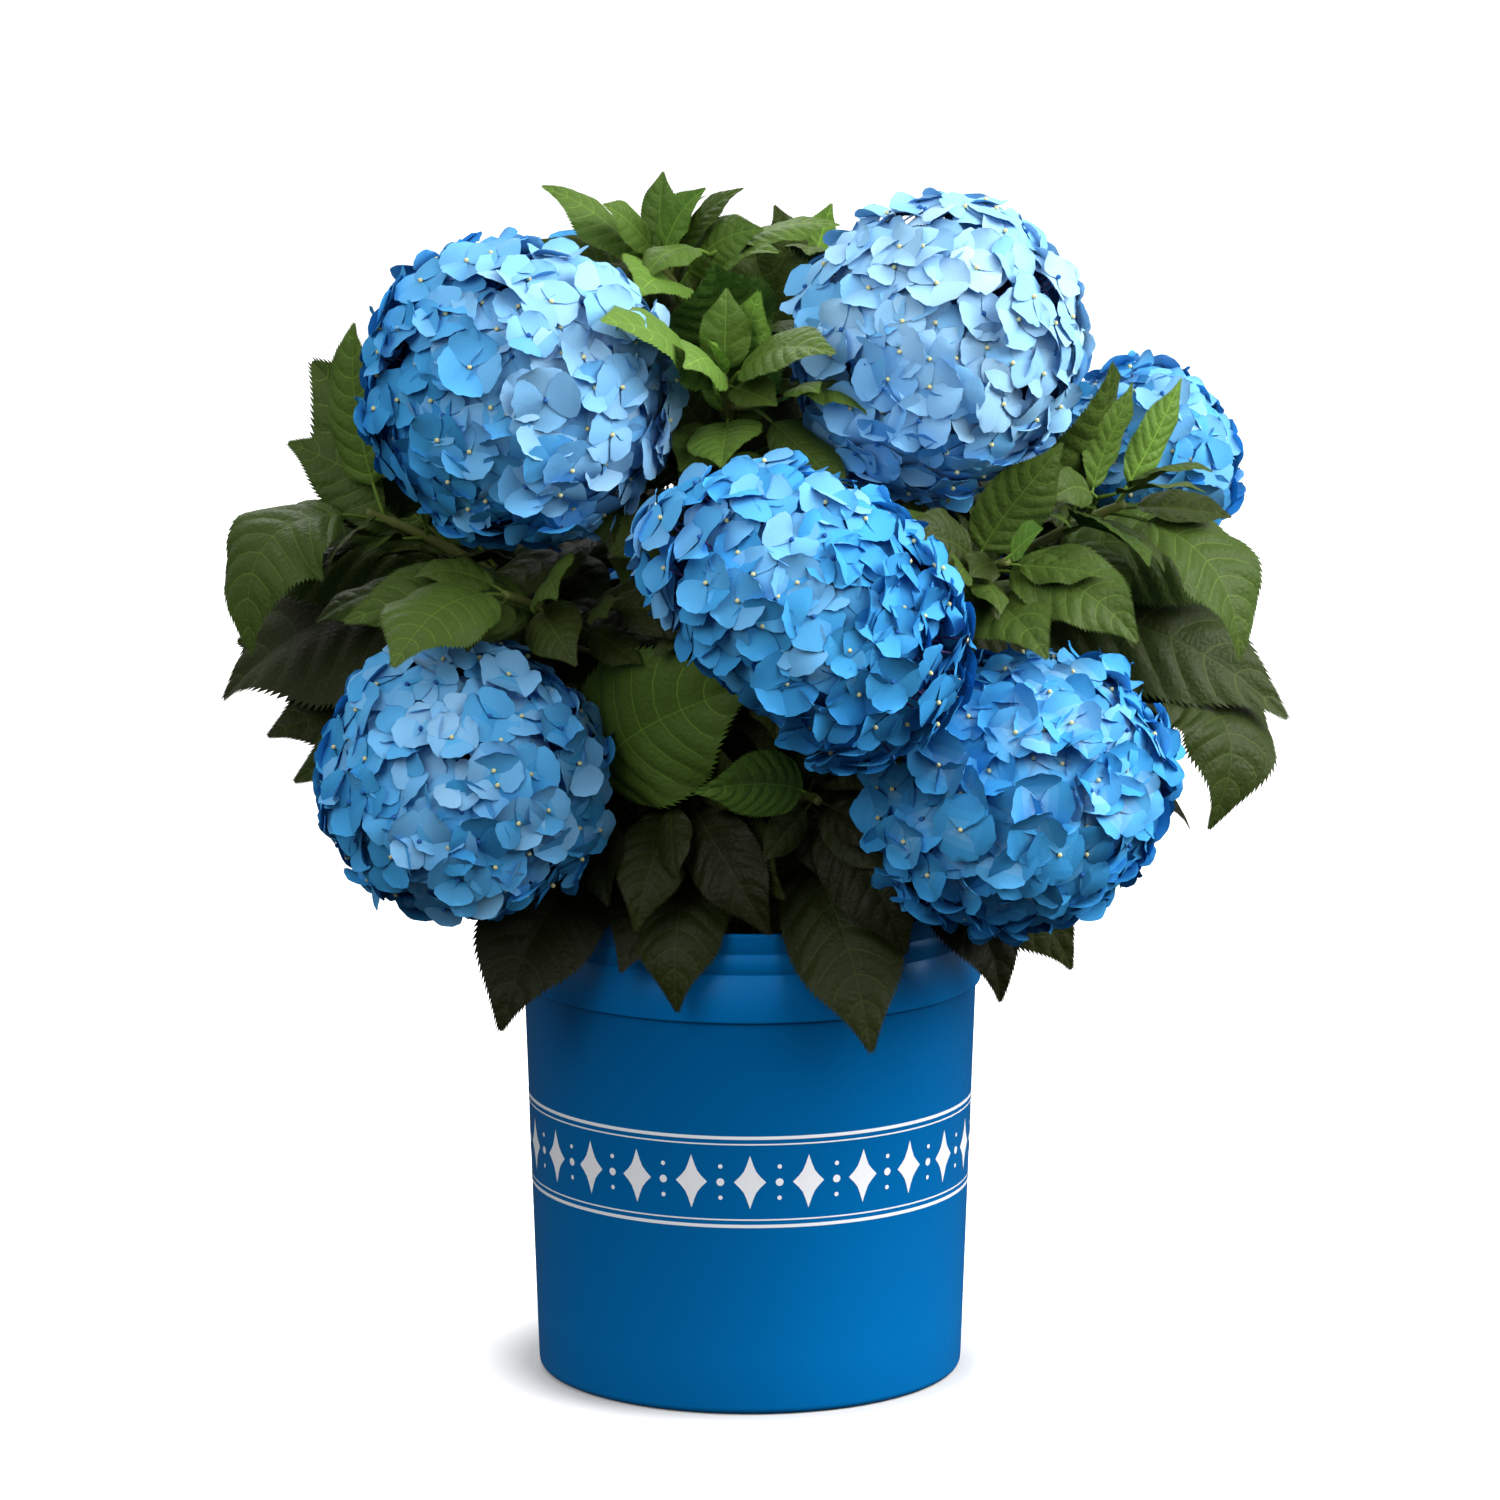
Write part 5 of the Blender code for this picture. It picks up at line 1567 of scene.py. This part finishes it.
# %% Rows that follow the veins
FULL_VEINS, FEW_VEINS = 8, 5  # pairs of side veins on a grown and on a small leaf
VEIN_HALF = 0.0034  # of the blade's length
QUILT_ROWS = ((0.25, 0.72), (0.52, 1.0), (0.78, 0.72))  # how far between two veins, and how high
LAST_ROWS = ((0.4, 0.5), (0.72, 0.3), (1.0, 0.0))
FIRST_VEIN, PAST_LAST_VEIN = 0.62, 0.45  # over the distance between two veins
FORWARD_SWEEP, SWEEP_POWER = 0.48, 1.4
BLADE_START, BLADE_END = 0.012, 0.985


def blade_rows(vein_pairs):
    """Each row's share of the midrib, each row's height, each strip's tooth, and whether it is a vein."""
    shares, heights, teeth, veins = [BLADE_START], [0.0], [], []

    def strips(steps, end):
        last = shares[-1]
        for step, height in steps:
            shares.append(last + (end - last) * step)
            heights.append(height)
            teeth.append(teeth[-1] + 1 if teeth else 0)
            veins.append(False)

    for pair in range(vein_pairs):
        centre = (pair + FIRST_VEIN) / (vein_pairs + PAST_LAST_VEIN)
        strips(QUILT_ROWS + ((1.0, 0.0),), centre - VEIN_HALF)
        shares.append(centre + VEIN_HALF)
        heights.append(0.0)
        teeth.append(teeth[-1])
        veins.append(True)
    strips(LAST_ROWS, BLADE_END)
    return np.array(shares), np.array(heights), np.array(teeth), np.array(veins)


# %% The grid of a blade
SIDE_SHARES = np.array((1.0, 0.78, 0.50, 0.22, 0.0))
TO_BASE, TO_TIP = 0.62, 0.82  # powers of the outline: how fast it widens, and how fast it closes
POINT_START, POINT_PINCH = 0.64, 0.50  # where it draws in to the drawn-out point, and by what share
QUILT_EDGE, QUILT_POWER = 0.86, 0.6  # where the quilting ends towards the edge, and how full it is
Blade = namedtuple(
    "Blade", "along share side outline quilt rows columns first_row last_row triangles is_vein"
)


def blade_pattern(vein_pairs):
    """The flat grid of a blade, with a tooth for every cell of its edge."""
    row_shares, row_heights, teeth, veins = blade_rows(vein_pairs)
    rows, columns = len(row_shares), 2 * len(SIDE_SHARES)
    share = np.tile(np.concatenate([SIDE_SHARES, SIDE_SHARES[::-1]]), rows)
    side = np.tile(np.repeat((-1.0, 1.0), len(SIDE_SHARES)), rows)
    row = np.repeat(row_shares, columns)
    along = row + FORWARD_SWEEP * np.sqrt(row) * (1 - row) * share**SWEEP_POWER
    widest = TO_BASE / (TO_BASE + TO_TIP)
    outline = along**TO_BASE * (1 - along) ** TO_TIP / (widest**TO_BASE * (1 - widest) ** TO_TIP)
    pinch = np.clip((along - POINT_START) / (1 - POINT_START), 0, 1)
    outline *= 1 - POINT_PINCH * pinch**2 * (3 - 2 * pinch)
    quilt = np.repeat(row_heights, columns) * np.sin(math.pi * np.clip(share, 0, QUILT_EDGE)) ** QUILT_POWER

    cell_column = np.tile(np.arange(columns - 1), rows - 1)
    midrib, edges = len(SIDE_SHARES) - 1, (0, columns - 2)
    cell_vein = np.repeat(veins, columns - 1) & ~np.isin(cell_column, edges) | (cell_column == midrib)
    tooth_count = teeth[-1] + 1
    first_row = np.array([np.flatnonzero(teeth == tooth)[0] for tooth in range(tooth_count)])
    last_row = np.array([np.flatnonzero(teeth == tooth)[-1] + 1 for tooth in range(tooth_count)])
    points = rows * columns
    edge_triangles = []
    for strip, tooth in enumerate(teeth):
        left, right = strip * columns, strip * columns + columns - 1
        edge_triangles.append((left, points + tooth, left + columns))
        edge_triangles.append((right, right + columns, points + tooth_count + tooth))
    last = points - columns
    end_point = points + 2 * tooth_count
    edge_triangles += [(last + column + 1, last + column, end_point) for column in range(columns - 1)]
    triangles = np.concatenate([grid_triangles(rows, columns), np.array(edge_triangles)[:, ::-1]])
    is_vein = np.concatenate([np.tile(cell_vein, 2), np.zeros(len(edge_triangles), bool)])
    return Blade(along, share, side, outline, quilt, rows, columns, first_row, last_row, triangles, is_vein)


full_blade, small_blade = blade_pattern(FULL_VEINS), blade_pattern(FEW_VEINS)
for blade in (full_blade, small_blade):
    print("a blade has", len(blade.triangles), "triangles and", 2 * len(blade.first_row), "teeth")

# %% Bending a blade along its leaf
MIDRIB_HALF, MIDRIB_TAPER = 0.00045, 0.7
BLADE_SLIMNESS = 0.80  # of the room that its solid keeps
QUILT_HEIGHT, QUILT_FADE = 0.014, 0.5  # over the leaf's length, and how much of it is gone at the tip
WAVES, WAVE_SHIFT = 2.3, 0.25  # along the edge, and from one edge to the other
HOOK_START, TIP_HOOK = 0.5, 0.25
TOOTH_LENGTH, TOOTH_PLACE = 0.021, 0.95  # over the leaf's length, and how far along its cell
Attitude = namedtuple("Attitude", "fold arch wave phase hook twist")


def unit_rows(vectors):
    return vectors / np.linalg.norm(vectors, axis=1, keepdims=True)


def blade_points(blade, leaf, attitude):
    """The blade's points on the leaf's line."""
    t = (PETIOLE_SHARE + (1 - PETIOLE_SHARE) * blade.along)[:, None]
    root, high, tip = np.array(leaf.root), np.array(leaf.high), np.array(leaf.tip)
    centre = (1 - t) ** 2 * root + 2 * t * (1 - t) * high + t**2 * tip
    along = unit_rows(2 * (1 - t) * (high - root) + 2 * t * (tip - high))
    across = np.array(leaf.across) - along * (along @ np.array(leaf.across))[:, None]
    across = unit_rows(across)
    up = np.cross(across, along)
    roll = (leaf.roll + attitude.twist * blade.along)[:, None]
    side = across * np.cos(roll) + up * np.sin(roll)
    top = np.cross(side, along)
    half_width = leaf.half_width * BLADE_SLIMNESS
    half = half_width * blade.share * blade.outline
    offset = blade.side * (half + MIDRIB_HALF * (1 - MIDRIB_TAPER * blade.along))
    lift = attitude.fold * half - attitude.arch * half**2 / half_width
    lift += QUILT_HEIGHT * leaf.length * blade.quilt * (1 - QUILT_FADE * blade.along)
    ripple = np.sin(2 * math.pi * (WAVES * blade.along + attitude.phase + WAVE_SHIFT * blade.side))
    lift += attitude.wave * half_width * blade.share**2 * blade.outline * ripple
    lift -= attitude.hook * leaf.length * np.clip(blade.along - HOOK_START, 0, 1) ** 2
    points = centre + side * offset[:, None] + top * lift[:, None]
    grid = points.reshape(blade.rows, blade.columns, 3)
    tooth_tips = []
    for edge, inner in ((0, 1), (-1, -2)):
        start, end = grid[blade.first_row, edge], grid[blade.last_row, edge]
        outwards = unit_rows(end - grid[blade.last_row, inner])
        tooth_tips.append(start + (end - start) * TOOTH_PLACE + outwards * TOOTH_LENGTH * leaf.length)
    end_point = leaf.point(1) - Vector(top[-1]) * attitude.hook * leaf.length * TIP_HOOK
    return np.concatenate([points, *tooth_tips, [np.array(end_point)]])


# %% [markdown]
# Leaves deep in the shrub and near the rim are painted a dark olive as shade, the outer and higher ones a
# fuller green as painted light, and the young ones at the tips are a light yellow-green of their own. The
# colour is dealt out leaf by leaf, by how far out and how high the leaf lies, so it needs no picture and no
# pattern, and some of the showy leaves have a tone of their own, which paints light on some and shade on
# others. Veins and stalks are a paler tone of the same green.

# %% Leaf colours
LEAF_TONES = (  # screen values from the shaded inside to the young tips
    (27, 31, 10), (36, 43, 14), (47, 59, 22), (60, 79, 29), (74, 99, 38), (90, 122, 48), (110, 148, 60),
)
VEIN_PALER, VEIN_LIFT = (1.27, 1.25, 1.20), 5
OUTER_TONES = 5  # tones for full-grown leaves; the rest are for young ones
TONE_PLACE = 0.6  # how far along a leaf its tone is measured
FULL_OUTWARD, SHADE_TOP, SHADE_SPAN = 0.26, 0.27, 0.30  # from the dome's centre, then heights
OUTWARD_LIGHT, HEIGHT_LIGHT, TONE_CHANGE = 0.25, 0.72, 0.12
leaf_finishes = []
for number, tone in enumerate(LEAF_TONES):
    leaf_finishes.append(finish(f"leaf_{number}", srgb(*tone), roughness=0.5, specular=0.12))
    paler = [min(255, value * more + VEIN_LIFT) for value, more in zip(tone, VEIN_PALER)]
    leaf_finishes.append(finish(f"vein_{number}", srgb(*paler), roughness=0.55, specular=0.12))
for leaf_finish in leaf_finishes[::2]:
    netted(leaf_finish, scale=240, strength=0.7, distance=0.0009)


def leaf_tone(leaf, chance):
    """The number of the leaf's tone: painted shade deep and low in the shrub, painted light out and high.
    """
    if leaf.tone is not None:
        return leaf.tone
    if leaf.young:
        return min(len(LEAF_TONES) - 1, OUTER_TONES - 1 + round(2 * leaf.young))
    middle = leaf.point(TONE_PLACE)
    outward = min(1.0, (middle - DOME_CENTRE).length / FULL_OUTWARD)
    height = min(1.0, max(0.0, (middle.z - SHADE_TOP) / SHADE_SPAN))
    light = OUTWARD_LIGHT * outward**2 + HEIGHT_LIGHT * height + chance.uniform(-TONE_CHANGE, TONE_CHANGE)
    return min(OUTER_TONES - 1, max(0, int(light * OUTER_TONES)))


# %% Making the leaves
PETIOLE_SIDES = 5
PETIOLE_LINE = ((0, 1.25), (0.35, 0.95), (0.7, 0.8), (1.0, 0.75), (1.12, 0.3))  # how far along, how thick
THINNEST, THICKENING, GROWN_LEAF = 0.55, 0.45, 0.09  # a leaf shorter than that has a thinner stalk
SMALL_LEAF = 0.066


def add_leaf(piece, leaf, label):
    """The blade with its veins, and the stalk."""
    chance = random.Random(str(label))
    young = leaf.young
    attitude = Attitude(
        fold=chance.uniform(0.08, 0.38) + 0.5 * young,
        arch=chance.uniform(0.15, 0.55) * (1 - young),
        wave=chance.uniform(0.02, 0.12),
        phase=chance.random(),
        hook=chance.uniform(0.0, 0.45) * (1 - young),
        twist=chance.uniform(-0.25, 0.25),
    )
    tone = leaf_tone(leaf, chance)
    blade = full_blade if leaf.length > SMALL_LEAF else small_blade
    piece.add(blade_points(blade, leaf, attitude), blade.triangles, 2 * tone + blade.is_vein)
    line = [leaf.point(PETIOLE_SHARE * share) for share, width in PETIOLE_LINE]
    thickness = THINNEST + THICKENING * min(1.0, leaf.length / GROWN_LEAF)
    radii = [PETIOLE_RADIUS * thickness * width for share, width in PETIOLE_LINE]
    piece.add(*tube(line, radii, PETIOLE_SIDES), 2 * tone + 1)


ZONES = {"leaves_top": 30, "leaves_waist": 4, "leaves_skirt": -90}  # its shoots rise more than this
left_over = dict(grown)
for zone, least_rise in ZONES.items():
    piece = Piece(zone)
    chosen = [name for name in left_over if SHOOTS[name].rise > least_rise]
    for name in chosen:
        for order, leaf in enumerate(left_over.pop(name)):
            add_leaf(piece, leaf, (name, order))
    piece.build(leaf_finishes, "leaf", *["foliage_" + name for name in chosen])

# %% [markdown]
# ## Twigs
# Inside its leaves every shoot goes on as a green twig with the same swollen rings as the cane below, and
# those that flower end inside their head. The side twigs are plain tapering tubes.

# %% Twigs
TWIG_SIDES, TWIG_RING_STEP = 10, 0.0028
SIDE_TWIG_SIDES, SIDE_TWIG_STEP = 6, 0.006
HEAD_CORE = 0.3  # how far before a head's middle its twig ends, over the head's half depth
twigs = Piece("twigs")
green_stem = finish("green_stem", srgb(92, 100, 50), roughness=0.55, specular=0.2)
grained(green_stem, scale=600, strength=0.3, distance=0.0005, stretch=(1, 1, 0.3))
for seed, (name, path) in enumerate(paths.items()):
    end = path.length if name not in HEADS else path.length - HEAD_CORE * HEADS[name].deep
    twigs.add(*barked(path, spans[name][0], end, seed, TWIG_SIDES, TWIG_RING_STEP), 0)
for twig in side_twigs:
    twigs.add(*tube(*twig.stretch(0, twig.length, SIDE_TWIG_STEP), SIDE_TWIG_SIDES), 0)
twigs.build([green_stem], "stem")

# %% [markdown]
# ## Sizes
# The dressed plant has to stay close to the reach of the plain solids, so both boxes are printed side by
# side.

# %% Finish
low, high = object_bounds()
boxes = {"cad": [list(cad_low), list(cad_high)], "visual": [list(low), list(high)]}
for axis, letter in enumerate("XYZ"):
    solids, dressed = ([round(corner[axis], 3) for corner in box] for box in boxes.values())
    print(letter, "solids", *solids, "dressed", *dressed)
